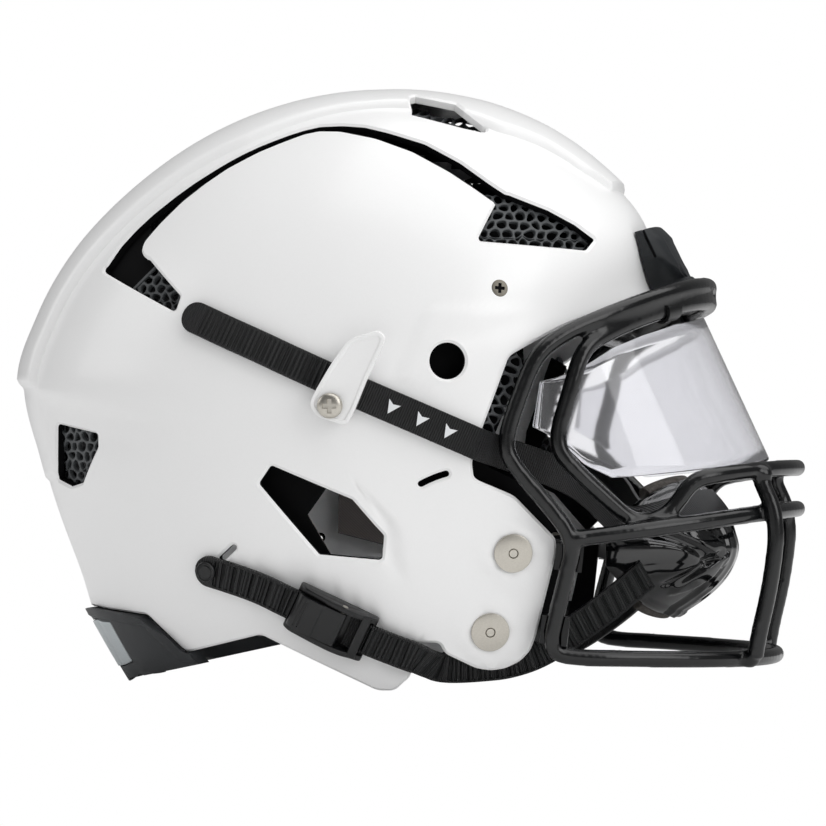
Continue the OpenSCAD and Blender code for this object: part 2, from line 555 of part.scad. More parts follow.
// Cam lever, drawn from its pivot
LEVER = [[-8.6, 0.4], [-6.1, 5.7], [0.8, 17.1], [8.1, 26.9], [20, 30.2], [22.8, 27.7], [22, 24.4],
    [15.1, 10.2], [9.8, -2.4], [6.9, -7.3], [4.5, -7.7], [-5.3, -4.5]];
lever_lift = strap_gap + strap_t + seat_gap;
module cam_lever(side) color(white) sided(side) at_wall(LEVER_PIVOT, lever_lift) difference() {
    linear_extrude(lever_t) offset(r = 1) offset(delta = -1) polygon(LEVER);
    translate([0, 0, -1]) cylinder(d = pan_shoulder_dia + 2 * run_gap, h = lever_t + 2, $fn = 40);
}
pan_head_t = 3;
module pan_screws() color(nickel) for (side = [-1, 1]) sided(side) at_wall(LEVER_PIVOT) {
    translate([0, 0, lever_lift + lever_t + seat_gap / 2]) intersection() {
        cylinder(d = pan_head_dia, h = pan_head_t, $fn = 64);
        translate([0, 0, pan_head_t - pan_head_dia]) sphere(r = pan_head_dia, $fn = 64);
    }
    translate([0, 0, thin]) cylinder(d = pan_shoulder_dia, h = lever_lift + lever_t + seat_gap / 2, $fn = 40);
    translate([0, 0, -shell_wall - nut_t]) cylinder(d = pan_shank_dia, h = shell_wall + nut_t + 1, $fn = 32);
}
module flat_screws() color(nickel) for (side = [-1, 1]) sided(side) at_wall(FLAT_SCREW) {
    translate([0, 0, -1.2]) cylinder(d = flat_head_dia, h = 1.2, $fn = 48);
    translate([0, 0, -shell_wall - nut_t])
        cylinder(d = flat_head_dia * 0.5, h = shell_wall + nut_t, $fn = 32);
}
module tee_nuts() color(nickel) for (side = [-1, 1]) sided(side)
    for (n = [[LEVER_PIVOT, pan_shank_dia], [FLAT_SCREW, flat_head_dia * 0.5]])
        at_wall(n[0], -shell_wall - nut_t) difference() {
            cylinder(d = nut_dia, h = nut_t - 3.8 * seat_gap, $fn = 40);
            translate([0, 0, -1]) cylinder(d = n[1] + 2 * run_gap, h = nut_t + 2, $fn = 32);
        }

// Straps
function laid(points) = [for (p = points) on_wall(p, -1, strap_lift)];
function free(points) = [for (p = points) real(p)];
// Points that the straps' faces look away from, behind the wall and behind the buckle
inward = -60;
function under(points) = [for (p = points) on_wall(p, -1, inward)];
// Point in the ratchet buckle, x forward along its strap and h above the wall
function in_ratchet(x, h) = let (z = wall_normal(RATCHET, -1), u = unit([1, 0, 0] - (z * [1, 0, 0]) * z),
        v = cross(z, u)) on_wall(RATCHET, -1, h) + x * (cos(ratchet_turn) * u - sin(ratchet_turn) * v);
module strap(route, middles) color(strap_black)
    sweep(curve(route, 2), strap_section(strap_w, strap_t), middles);
module upper_strap(side) sided(side)
    strap([each laid(UPPER_ON), each free(UPPER_FREE)],
        [each under(UPPER_ON), for (p = UPPER_FREE) real(head)]);
module ladder_strap(side) sided(side) difference() {
    xs = [-21, -16, -6, -1];
    strap([each laid(LADDER_ON), for (x = xs) in_ratchet(x, ratchet_strap)],
        [each under(LADDER_ON), for (x = xs) in_ratchet(x, inward)]);
    hole(RIVET, rivet_shank_dia + 4 * hole_gap);
}
module lower_strap(side) sided(side) {
    xs = [7, 15, 19];
    strap([for (x = xs) in_ratchet(x, ratchet_strap), each free(LOWER_FREE)],
        [for (x = xs) in_ratchet(x, inward), for (p = LOWER_FREE) real(jaw)]);
}
module strap_rivets() color(strap_black) for (side = [-1, 1]) sided(side) at_wall(RIVET) {
    translate([0, 0, strap_gap + strap_t + seat_gap]) cylinder(d = rivet_dia, h = 1.4, $fn = 48);
    translate([0, 0, -shell_wall - 1]) cylinder(d = rivet_shank_dia, h = shell_wall + strap_t + 2, $fn = 32);
}

// Ratchet buckle, drawn along its strap with z out of the wall
module ratchet_base(side) color(black) sided(side) at_wall(RATCHET, seat_gap, -ratchet_turn) difference() {
    translate([-ratchet_l / 2, -ratchet_w / 2, 0]) cube([ratchet_l, ratchet_w, ratchet_h]);
    translate([-ratchet_l, -ratchet_w / 2 + ratchet_wall, ratchet_floor])
        cube([2 * ratchet_l, ratchet_w - 2 * ratchet_wall, ratchet_h]);
    translate([hinge_at[0], ratchet_w, hinge_at[1]]) rotate([90, 0, 0])
        cylinder(d = hinge_dia + 2 * run_gap, h = 2 * ratchet_w, $fn = 32);
}
module ratchet_lever(side) color(black) sided(side) at_wall(RATCHET, seat_gap, -ratchet_turn) difference() {
    w = ratchet_w - 2 * ratchet_wall - 2 * seat_gap;
    low = ratchet_floor + strap_t + 3 * seat_gap;
    union() {
        translate([-ratchet_l / 2 + 1, -w / 2, low])
            cube([ratchet_l / 2 - 1 + hinge_at[0], w, ratchet_h - low + 0.5]);
        translate([hinge_at[0], w / 2, hinge_at[1]]) rotate([90, 0, 0])
            cylinder(r = hinge_round, h = w, $fn = 40);
    }
    translate([hinge_at[0], ratchet_w, hinge_at[1]]) rotate([90, 0, 0])
        cylinder(d = hinge_dia + 2 * run_gap, h = 2 * ratchet_w, $fn = 32);
}
module ratchet_hinge_pins() color(nickel) for (side = [-1, 1]) sided(side)
    at_wall(RATCHET, seat_gap, -ratchet_turn) translate([hinge_at[0], ratchet_w / 2, hinge_at[1]])
        rotate([90, 0, 0]) cylinder(d = hinge_dia, h = ratchet_w, $fn = 32);

// Chin cup, as a bowl over the shares a up and b across, each from -100 to 100
function cup_point(a, b) =
    let (u = a / 100, v = b / 100, up = u * sqrt(1 - v * v / 2), out = v * sqrt(1 - u * u / 2),
        r = norm([up, out]), turn = r == 0 ? 0 : atan2(up, abs(out)), side = cos(turn) * cos(turn),
        g = (1 - power(1 - power(r, 2.4), 0.55)) * side + power(r, 2.1) * (1 - side))
    real([cup_tip[0] - lookup(turn, CUP_RIM) * g, cup_half[0] * out, cup_tip[1] + cup_half[1] * up]);
// The same place moved by d away from the middle of the wearer's chin
cup_heart = [86.6, 0, 57.5];
function cup_at(a, b, d) = let (p = cup_point(a, b)) p + d * unit(p - real(cup_heart));
module cup_layer(as, bs, low, high)
    slab([for (a = as) [for (b = bs) cup_at(a, b, high)]], [for (a = as) [for (b = bs) cup_at(a, b, low)]]);
foam_gap = 2 * seat_gap;
cup_rows = steps(-100, 100, 12);
cup_cols = steps(-100, 100, 16);
module chin_cup() color(black) cup_layer(cup_rows, cup_cols, -cup_wall, 0);
module chin_cup_foam() color(foam)
    cup_layer(cup_rows, cup_cols, -cup_wall - foam_gap - cup_foam_t, -cup_wall - foam_gap);
module chin_strap_band() color(strap_black)
    cup_layer(steps(100 / 3, 250 / 3, 3), cup_cols, seat_gap, seat_gap + strap_t);

// Liner pads: rays, turns and thickness
pad_gap = 1.9;
jaw_pad_lift = shell_wall + clip_t + clip_gap + 3 * seat_gap;
function fullness(v, s) = let (u = 2 * (v - s[0]) / (s[1] - s[0]) - 1) 1 - 0.55 * u * u * u * u;
module pad(rays, turns, t) color(black) {
    as = steps(rays[0], rays[1], 7);
    bs = steps(turns[0], turns[1], 7);
    back = -shell_wall - pad_gap;
    layer(shell_skin, as, bs, function (a, b) back - t * fullness(a, rays) * fullness(b, turns),
        function (a, b) back);
}
module brow_pad() pad([24, 61], [-33, 33], brow_pad_t);
module crown_pad() pad([65, 115], [-31, 31], crown_pad_t);
module back_pad() pad([119, 160], [-33, 33], crown_pad_t);
module nape_pad() pad([164, 207.5], [-42, 42], crown_pad_t);
module side_pad(side) sided(side) pad([39, 160], [-60, -36], side_pad_t);
// The jaw pad is drawn between four corners of the side wall, rear low, rear high, front low, front high
JAW_PAD = [[24, 26], [8, 78], [54, 20], [60, 66]];
jaw_skin = function (a, b)
    let (u = a / 100, v = b / 100, rear = (1 - u) * JAW_PAD[0] + u * JAW_PAD[1],
        front = (1 - u) * JAW_PAD[2] + u * JAW_PAD[3]) on_wall((1 - v) * rear + v * front, -1);
module jaw_pad(side) color(black) sided(side) {
    span = [0, 100];
    layer(jaw_skin, steps(0, 100, 6), steps(0, 100, 6),
        function (a, b) -jaw_pad_lift - jaw_pad_t * fullness(a, span) * fullness(b, span),
        function (a, b) -jaw_pad_lift);
}

outer_shell();
brow_plate();
nape_bumper();
nape_insert();
guard_outer_loop();
guard_eye_loop();
guard_mouth_bar();
guard_upright(-1);  // guard_upright_right
guard_upright(1);  // guard_upright_left
guard_clip(UPPER_CLIP, -1);  // guard_clip_upper_right
guard_clip(UPPER_CLIP, 1);  // guard_clip_upper_left
guard_clip(LOWER_CLIP, -1);  // guard_clip_lower_right
guard_clip(LOWER_CLIP, 1);  // guard_clip_lower_left
visor();
visor_clip(-1);  // visor_clip_right
visor_clip(1);  // visor_clip_left
release_caps();
release_pin(UPPER_CAP, -1);  // release_pin_upper_right
release_pin(UPPER_CAP, 1);  // release_pin_upper_left
release_pin(LOWER_CAP, -1);  // release_pin_lower_right
release_pin(LOWER_CAP, 1);  // release_pin_lower_left
cam_lever(-1);  // cam_lever_right
cam_lever(1);  // cam_lever_left
pan_screws();
flat_screws();
tee_nuts();
upper_strap(-1);  // upper_strap_right
upper_strap(1);  // upper_strap_left
ladder_strap(-1);  // ladder_strap_right
ladder_strap(1);  // ladder_strap_left
strap_rivets();
ratchet_base(-1);  // ratchet_base_right
ratchet_base(1);  // ratchet_base_left
ratchet_lever(-1);  // ratchet_lever_right
ratchet_lever(1);  // ratchet_lever_left
ratchet_hinge_pins();
lower_strap(-1);  // lower_strap_right
lower_strap(1);  // lower_strap_left
chin_cup();
chin_cup_foam();
chin_strap_band();
brow_pad();
crown_pad();
back_pad();
nape_pad();
side_pad(-1);  // side_pad_right
side_pad(1);  // side_pad_left
jaw_pad(-1);  // jaw_pad_right
jaw_pad(1);  // jaw_pad_left
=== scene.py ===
"""A football helmet with a wire face guard, a clear visor and a four-point chin strap.

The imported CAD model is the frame. Each sub-assembly is a class that holds its sizes in millimetres, builds
its meshes in the helmet's own frame (+X forward, +Y the wearer's left, +Z up) and dresses them.
"""

import logging
import math
from dataclasses import dataclass
from enum import Enum
from typing import Iterable, Sequence

import bmesh
import bpy
import numpy as np
from mathutils import Matrix, Vector


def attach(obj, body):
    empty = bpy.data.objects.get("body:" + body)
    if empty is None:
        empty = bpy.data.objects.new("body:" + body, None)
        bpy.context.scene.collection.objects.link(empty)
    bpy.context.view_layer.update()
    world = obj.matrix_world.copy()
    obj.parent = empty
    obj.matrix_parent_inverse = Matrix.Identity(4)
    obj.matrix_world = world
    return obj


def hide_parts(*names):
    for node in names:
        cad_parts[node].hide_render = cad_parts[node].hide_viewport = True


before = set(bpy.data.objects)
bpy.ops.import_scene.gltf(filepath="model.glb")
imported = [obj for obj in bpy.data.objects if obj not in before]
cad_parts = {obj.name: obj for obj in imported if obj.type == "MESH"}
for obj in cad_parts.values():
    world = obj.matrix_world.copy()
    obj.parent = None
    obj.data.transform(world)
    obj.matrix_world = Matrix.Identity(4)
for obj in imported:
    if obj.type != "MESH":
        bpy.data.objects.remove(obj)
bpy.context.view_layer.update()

MM = 0.001
LOG = logging.getLogger("helmet")
RIGHT, LEFT = -1, 1
SIDE_NAMES = {RIGHT: "right", LEFT: "left"}
# Places of the release caps on the side wall, and the buckle's place and its turn in the wall
CAP_PLACES = (("upper", (58.0, 56.9)), ("lower", (48.2, 24.5)))
BUCKLE_PLACE = (-15.4, 29.6)
BUCKLE_TURN = -26.0
# Noise cells per metre that make a finish's roughness uneven
UNEVEN_SCALE = 28.0
COAT_ROUGHNESS = 0.04
SHEEN_ROUGHNESS = 0.5

Point = Sequence[float]
Piece = bpy.types.Object
Array = np.ndarray
Pair = tuple[float, float]
Triple = tuple[float, float, float]


class Grain(Enum):
    """What the surface of a finish shows from close by."""

    MOULDED = "moulded"
    COATED = "coated"
    WOVEN = "woven"
    BRUSHED = "brushed"
    FOAM = "foam"
    KNIT = "knit"
    CLEAR = "clear"


@dataclass(frozen=True)
class Finish:
    """One real material with its surface, as typical values that were then matched to the helmet."""

    name: str
    slot: str
    colour: str
    tint: str
    roughness: float
    grain: Grain
    grain_mm: float
    depth_mm: float
    metallic: float = 0.0
    ior: float = 1.5
    coat: float = 0.0
    sheen: float = 0.0
    transmission: float = 0.0
    uneven: float = 0.05

    def material(self) -> bpy.types.Material:
        """Gives the finish as a procedural material, made once.

        Returns:
            The material with its colour, roughness and relief from nodes.
        """
        made = bpy.data.materials.get(self.name)
        if made:
            return made
        made = bpy.data.materials.new(self.name)
        tree = empty_tree(made)
        place = self.place(tree)
        broad = add_node(tree, "ShaderNodeTexNoise", {"Scale": UNEVEN_SCALE, "Detail": 3.0}, {"Vector": place})
        fine, height = self.pattern(tree, place)
        mixed = add_node(tree, "ShaderNodeMix", {6: srgb(self.colour), 7: srgb(self.tint)}, {"Factor": fine},
                         data_type="RGBA")
        rough = add_node(tree, "ShaderNodeMapRange", {
            "To Min": max(self.roughness - self.uneven, 0.01), "To Max": self.roughness + self.uneven,
        }, {"Value": broad.outputs["Fac"]})
        bump = add_node(tree, "ShaderNodeBump", {"Distance": self.depth_mm * MM, "Strength": 1.0},
                        {"Height": height})
        settings = {
            "Metallic": self.metallic, "Coat Weight": self.coat, "Coat Roughness": COAT_ROUGHNESS,
            "Sheen Weight": self.sheen, "Sheen Roughness": SHEEN_ROUGHNESS, "Transmission Weight": self.transmission,
        }
        if not self.metallic:
            settings["IOR"] = self.ior
        shader = add_node(tree, "ShaderNodeBsdfPrincipled", settings, {
            "Base Color": mixed.outputs[2], "Roughness": rough.outputs["Result"], "Normal": bump.outputs["Normal"],
        })
        add_node(tree, "ShaderNodeOutputMaterial", {}, {"Surface": shader.outputs["BSDF"]})
        return made

    def place(self, tree: bpy.types.NodeTree) -> bpy.types.NodeSocket:
        """Gives the coordinates that the grain follows: along the strap on webbing, else in the frame.

        Args:
            tree: The material's tree.

        Returns:
            The coordinates' socket.
        """
        if self.grain is Grain.WOVEN:
            return add_node(tree, "ShaderNodeUVMap", {}, {}, uv_map="weave").outputs["UV"]
        return add_node(tree, "ShaderNodeTexCoord", {}, {}).outputs["Object"]

    def pattern(self, tree: bpy.types.NodeTree, place: bpy.types.NodeSocket) -> tuple:
        """Adds the grain's nodes.

        Args:
            tree: The material's tree.
            place: The coordinates, in metres.

        Returns:
            The socket that mixes the tint in, and the socket that gives the relief's height.
        """
        per_metre = 1.0 / (self.grain_mm * MM)
        if self.grain is Grain.WOVEN:
            ribs = add_node(tree, "ShaderNodeTexWave", {"Scale": per_metre / 2, "Distortion": 0.0},
                            {"Vector": place}, bands_direction="X")
            yarns = add_node(tree, "ShaderNodeTexWave", {"Scale": per_metre / 1.2, "Distortion": 0.0},
                             {"Vector": place}, bands_direction="Y")
            both = add_node(tree, "ShaderNodeMath", {}, {0: ribs.outputs["Fac"], 1: yarns.outputs["Fac"]},
                            operation="MULTIPLY")
            return both.outputs[0], ribs.outputs["Fac"]
        if self.grain is Grain.BRUSHED:
            stretch = add_node(tree, "ShaderNodeMapping", {"Scale": (0.08, 1.0, 1.0)}, {"Vector": place})
            lines = add_node(tree, "ShaderNodeTexNoise", {"Scale": per_metre, "Detail": 6.0},
                             {"Vector": stretch.outputs["Vector"]})
            return lines.outputs["Fac"], lines.outputs["Fac"]
        if self.grain is Grain.FOAM:
            cells = add_node(tree, "ShaderNodeTexVoronoi", {"Scale": per_metre}, {"Vector": place})
            return cells.outputs["Distance"], cells.outputs["Distance"]
        if self.grain is Grain.KNIT:
            across = add_node(tree, "ShaderNodeTexWave", {"Scale": per_metre / 2, "Distortion": 0.6},
                              {"Vector": place}, bands_direction="DIAGONAL")
            return across.outputs["Fac"], across.outputs["Fac"]
        noise = add_node(tree, "ShaderNodeTexNoise", {"Scale": per_metre, "Detail": 4.0, "Roughness": 0.6},
                         {"Vector": place})
        return noise.outputs["Fac"], noise.outputs["Fac"]


def srgb(code: str) -> tuple[float, float, float, float]:
    """Turns an sRGB hex colour to the linear colour that a shader takes.

    Args:
        code: Six hex digits.

    Returns:
        Red, green, blue and alpha.
    """
    parts = [int(code[i:i + 2], 16) / 255 for i in (0, 2, 4)]
    linear = [p / 12.92 if p <= 0.04045 else ((p + 0.055) / 1.055) ** 2.4 for p in parts]
    return (*linear, 1.0)


def empty_tree(owner: bpy.types.Material | bpy.types.World) -> bpy.types.NodeTree:
    """Gives the emptied node tree of a material or of the surroundings.

    Args:
        owner: The material or the world.

    Returns:
        Its tree.
    """
    owner.use_nodes = True
    owner.node_tree.nodes.clear()
    return owner.node_tree


def add_node(tree: bpy.types.NodeTree, kind: str, settings: dict, links: dict, **options: object) -> bpy.types.Node:
    """Adds one node to a tree.

    Args:
        tree: The tree that gets the node.
        kind: Blender's name of the node type.
        settings: Input names or numbers and their values.
        links: Input names or numbers and the sockets that feed them.
        **options: Properties of the node itself.

    Returns:
        The new node.
    """
    node = tree.nodes.new(kind)
    for name, value in options.items():
        setattr(node, name, value)
    for name, value in settings.items():
        node.inputs[name].default_value = value
    for name, socket in links.items():
        tree.links.new(socket, node.inputs[name])
    return node


# Injection-moulded polycarbonate: almost no texture. Its roughness stays above the 0.274 at which the
# renderer's denoiser changes over, because a range across it leaves blotches
SHELL_WHITE = Finish("polycarbonate_white_gloss", "shell_white", "f3f3f3", "efefef", 0.3, Grain.MOULDED, 0.9,
                     0.004, coat=0.1, uneven=0.02)
# Moulded thermoplastic elastomer: dark grey, satin, a fine spark-eroded texture
BUMPER = Finish("elastomer_charcoal", "bumper_charcoal", "121518", "1d2125", 0.5, Grain.MOULDED, 0.5, 0.05,
                uneven=0.06)
# Moulded nylon in pale grey: matt with a trace of flow marks
INSERT = Finish("nylon_pale_grey", "insert_grey", "b4bbbe", "bfc5c7", 0.42, Grain.MOULDED, 0.6, 0.03)
# Steel wire under a thick nylon powder coat: smooth but with a slight orange peel
GUARD = Finish("powder_coat_black", "guard_coat", "050607", "0a0b0d", 0.23, Grain.COATED, 2.4, 0.03, coat=0.12,
               uneven=0.03)
# Acetal, moulded black: a soft gloss and tiny scuffs
BLACK_PLASTIC = Finish("acetal_black", "clip_black", "050607", "0b0c0e", 0.34, Grain.MOULDED, 0.7, 0.02)
# Hard-coated polycarbonate sheet: clear with a slight milky haze, very smooth
VISOR_CLEAR = Finish("polycarbonate_clear", "visor_clear", "f3f3f7", "f7f7fa", 0.06, Grain.CLEAR, 20.0, 0.0,
                     ior=1.45, transmission=0.93, uneven=0.005)
# Nickel plate on steel, brushed: bright with fine straight lines
NICKEL = Finish("nickel_brushed", "nickel_plate", "b9b4aa", "d6d2c9", 0.33, Grain.BRUSHED, 0.25, 0.012,
                metallic=1.0, uneven=0.05)
# Zinc plate on steel, dulled: greyer than the nickel
DULL_PLATE = Finish("zinc_dull", "nickel_plate", "6b675f", "858178", 0.42, Grain.BRUSHED, 0.25, 0.012, metallic=1.0,
                    uneven=0.05)
# Nylon webbing: dull, with woven rows 1.6 mm apart, finer than the ribs that the mesh has
WEBBING = Finish("nylon_webbing_black", "strap_black", "050607", "0f1114", 0.4, Grain.WOVEN, 1.6, 0.35)
# Polycarbonate cup, moulded black and polished: mirror-like
CUP = Finish("polycarbonate_black_gloss", "cup_black", "08090a", "0e0f11", 0.1, Grain.MOULDED, 1.2, 0.006, coat=0.5,
             ior=1.58, uneven=0.02)
# Closed-cell foam, cut: matt, open pores about 1 mm across
FOAM = Finish("foam_grey", "cup_foam", "45423f", "625d58", 0.85, Grain.FOAM, 1.1, 0.25)
# Coated knit over foam: dull black cloth, its rows drawn 1.4 mm apart so that they show
PAD_CLOTH = Finish("knit_black", "liner_pad", "101114", "1d1e22", 0.62, Grain.KNIT, 1.4, 0.12, sheen=0.08)
# Printed elastomer lattice: dark grey struts with a dull skin
LATTICE = Finish("elastomer_lattice", "liner_pad", "3c3e40", "55585a", 0.55, Grain.MOULDED, 0.6, 0.03)
# Black lining: dull rubber that swallows the light, used for the dark cloth behind the liner's lattice. The same black
# is also painted shade on the deep walls of the shell's openings and in the flat screws' cross recesses
LINING_AND_SHADE = Finish("rubber_black_matt_and_painted_shade", "liner_pad", "050506", "08080a", 0.75, Grain.MOULDED, 0.6, 0.02, ior=1.2)
# Inner face of the cheek liner: brushed grey-brown backing cloth
SUEDE = Finish("backing_grey_brown", "liner_pad", "7d7673", "8a8380", 0.85, Grain.KNIT, 1.2, 0.05)
# Painted print on webbing: flat off-white ink
INK = Finish("ink_white", "shell_white", "e6e8ea", "dcdee0", 0.5, Grain.MOULDED, 0.5, 0.01)


def deselect() -> None:
    """Takes the selection off everything, because an operator acts on all that is selected."""
    for obj in bpy.context.selected_objects:
        obj.select_set(False)


def pick(obj: Piece) -> None:
    """Makes one object the only selected and active one.

    Args:
        obj: The object.
    """
    deselect()
    obj.select_set(True)
    bpy.context.view_layer.objects.active = obj


def linked(name: str, data: bpy.types.ID) -> Piece:
    """Makes an object of some data and links it to the scene.

    Args:
        name: The object's name.
        data: Its mesh, curve, lamp or camera.

    Returns:
        The object.
    """
    obj = bpy.data.objects.new(name, data)
    bpy.context.scene.collection.objects.link(obj)
    return obj


def new_object(name: str, points: Array, faces: Iterable[Sequence[int]]) -> Piece:
    """Makes a mesh object at the origin.

    Args:
        name: The piece's name.
        points: Points in millimetres.
        faces: Faces as point numbers.

    Returns:
        The new object, linked to the scene.
    """
    mesh = bpy.data.meshes.new(name)
    mesh.from_pydata((np.asarray(points, float).reshape(-1, 3) * MM).tolist(), [], [list(f) for f in faces])
    mesh.validate()
    return linked(name, mesh)


def modify(obj: Piece, kind: str, **settings: object) -> Piece:
    """Adds a modifier to an object and applies it.

    Args:
        obj: The object.
        kind: Blender's name of the modifier.
        **settings: Its settings.

    Returns:
        The same object.
    """
    pick(obj)
    modifier = obj.modifiers.new(kind.lower(), kind)
    for name, value in settings.items():
        setattr(modifier, name, value)
    bpy.ops.object.modifier_apply(modifier=modifier.name)
    return obj


def bevelled(obj: Piece, width: float, segments: int = 2, angle: float = 30.0) -> Piece:
    """Rounds the edges sharper than angle by width millimetres."""
    return modify(obj, "BEVEL", width=width * MM, segments=segments, limit_method="ANGLE",
                  angle_limit=math.radians(angle), harden_normals=False)


def smoothed(obj: Piece, angle: float = 40.0) -> Piece:
    """Shades an object smooth up to an angle between faces.

    Args:
        obj: The object.
        angle: The angle, in degrees.

    Returns:
        The same object.
    """
    pick(obj)
    bpy.ops.object.shade_smooth_by_angle(angle=math.radians(angle))
    return obj


def outward(obj: Piece, merge: bool = True) -> Piece:
    """Turns every face of a closed mesh outwards, and merges its doubles unless told not to.

    Args:
        obj: The object.
        merge: Whether points at one place become one.

    Returns:
        The same object.
    """
    pick(obj)
    bpy.ops.object.mode_set(mode="EDIT")
    bpy.ops.mesh.select_all(action="SELECT")
    if merge:
        bpy.ops.mesh.remove_doubles(threshold=1e-6)
    bpy.ops.mesh.normals_make_consistent(inside=False)
    bpy.ops.object.mode_set(mode="OBJECT")
    return obj


def joined(name: str, parts: Sequence[Piece]) -> Piece:
    """Joins several objects into one piece under a name.

    Args:
        name: The piece's name.
        parts: The objects, of which the first one stays.

    Returns:
        The piece.
    """
    pick(parts[0])
    for part in parts[1:]:
        part.select_set(True)
    if len(parts) > 1:
        bpy.ops.object.join()
    parts[0].name = name
    parts[0].data.name = name
    return parts[0]


def mirrored(obj: Piece, name: str) -> Piece:
    """Gives a copy of an object on the other side of the middle plane, with its own mesh.

    Args:
        obj: The object.
        name: The copy's name.

    Returns:
        The copy.
    """
    copy = obj.copy()
    copy.data = obj.data.copy()
    copy.name = name
    bpy.context.scene.collection.objects.link(copy)
    copy.data.transform(Matrix.Scale(-1, 4, (0, 1, 0)))
    copy.data.flip_normals()
    return copy


def dress(obj: Piece, finish: Finish, body: str = "helmet", nodes: Sequence[str] = ()) -> Piece:
    """Gives a finished piece its material, its body and the CAD nodes that it stands for.

    Args:
        obj: The piece, at the origin.
        finish: Its finish.
        body: The CAD body that it moves with.
        nodes: The CAD nodes that it replaces.

    Returns:
        The piece.
    """
    obj.data.materials.clear()
    obj.data.materials.append(finish.material())
    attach(obj, body)
    if nodes:
        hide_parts(*nodes)
    LOG.info("%s on %s, %d faces", obj.name, body, len(obj.data.polygons))
    return obj


def lerp(a: Point, b: Point, share: float) -> Array:
    """Gives the point at a share of the way from a to b."""
    return np.asarray(a, float) * (1 - share) + np.asarray(b, float) * share


def arch(start: Array, top: Array, end: Array, u: float) -> Array:
    """Gives the point u of the way along the curve that leaves start and reaches end, drawn towards top."""
    return (1 - u) ** 2 * start + 2 * u * (1 - u) * top + u * u * end


def bent(points: Sequence[Point], pieces: int, closed: bool = False) -> Array:
    """Gives the smooth curve through the middles of a route's legs.

    Args:
        points: The route's corners.
        pieces: How many pieces each corner gets.
        closed: Whether the route runs round.

    Returns:
        The curve's points.
    """
    p = [np.asarray(q, float) for q in points]
    n = len(p)
    out = [] if closed else [p[0]]
    for i in range(n) if closed else range(1, n - 1):
        before, here, after = p[i - 1], p[i], p[(i + 1) % n]
        if not closed and i == 1:
            before = 2 * p[0] - here
        if not closed and i == n - 2:
            after = 2 * p[n - 1] - here
        out += [arch((before + here) / 2, here, (here + after) / 2, k / pieces) for k in range(1, pieces + 1)]
    return np.array(out)


def flipped(points: Sequence[Point]) -> list:
    """Gives points on the other side of the middle plane."""
    return [(p[0], -p[1], p[2]) for p in points]


def both_sides(points: Sequence[Point]) -> list:
    """Gives a route from the middle plane round the right side and back round the left."""
    return [*points, *reversed(flipped(points))]


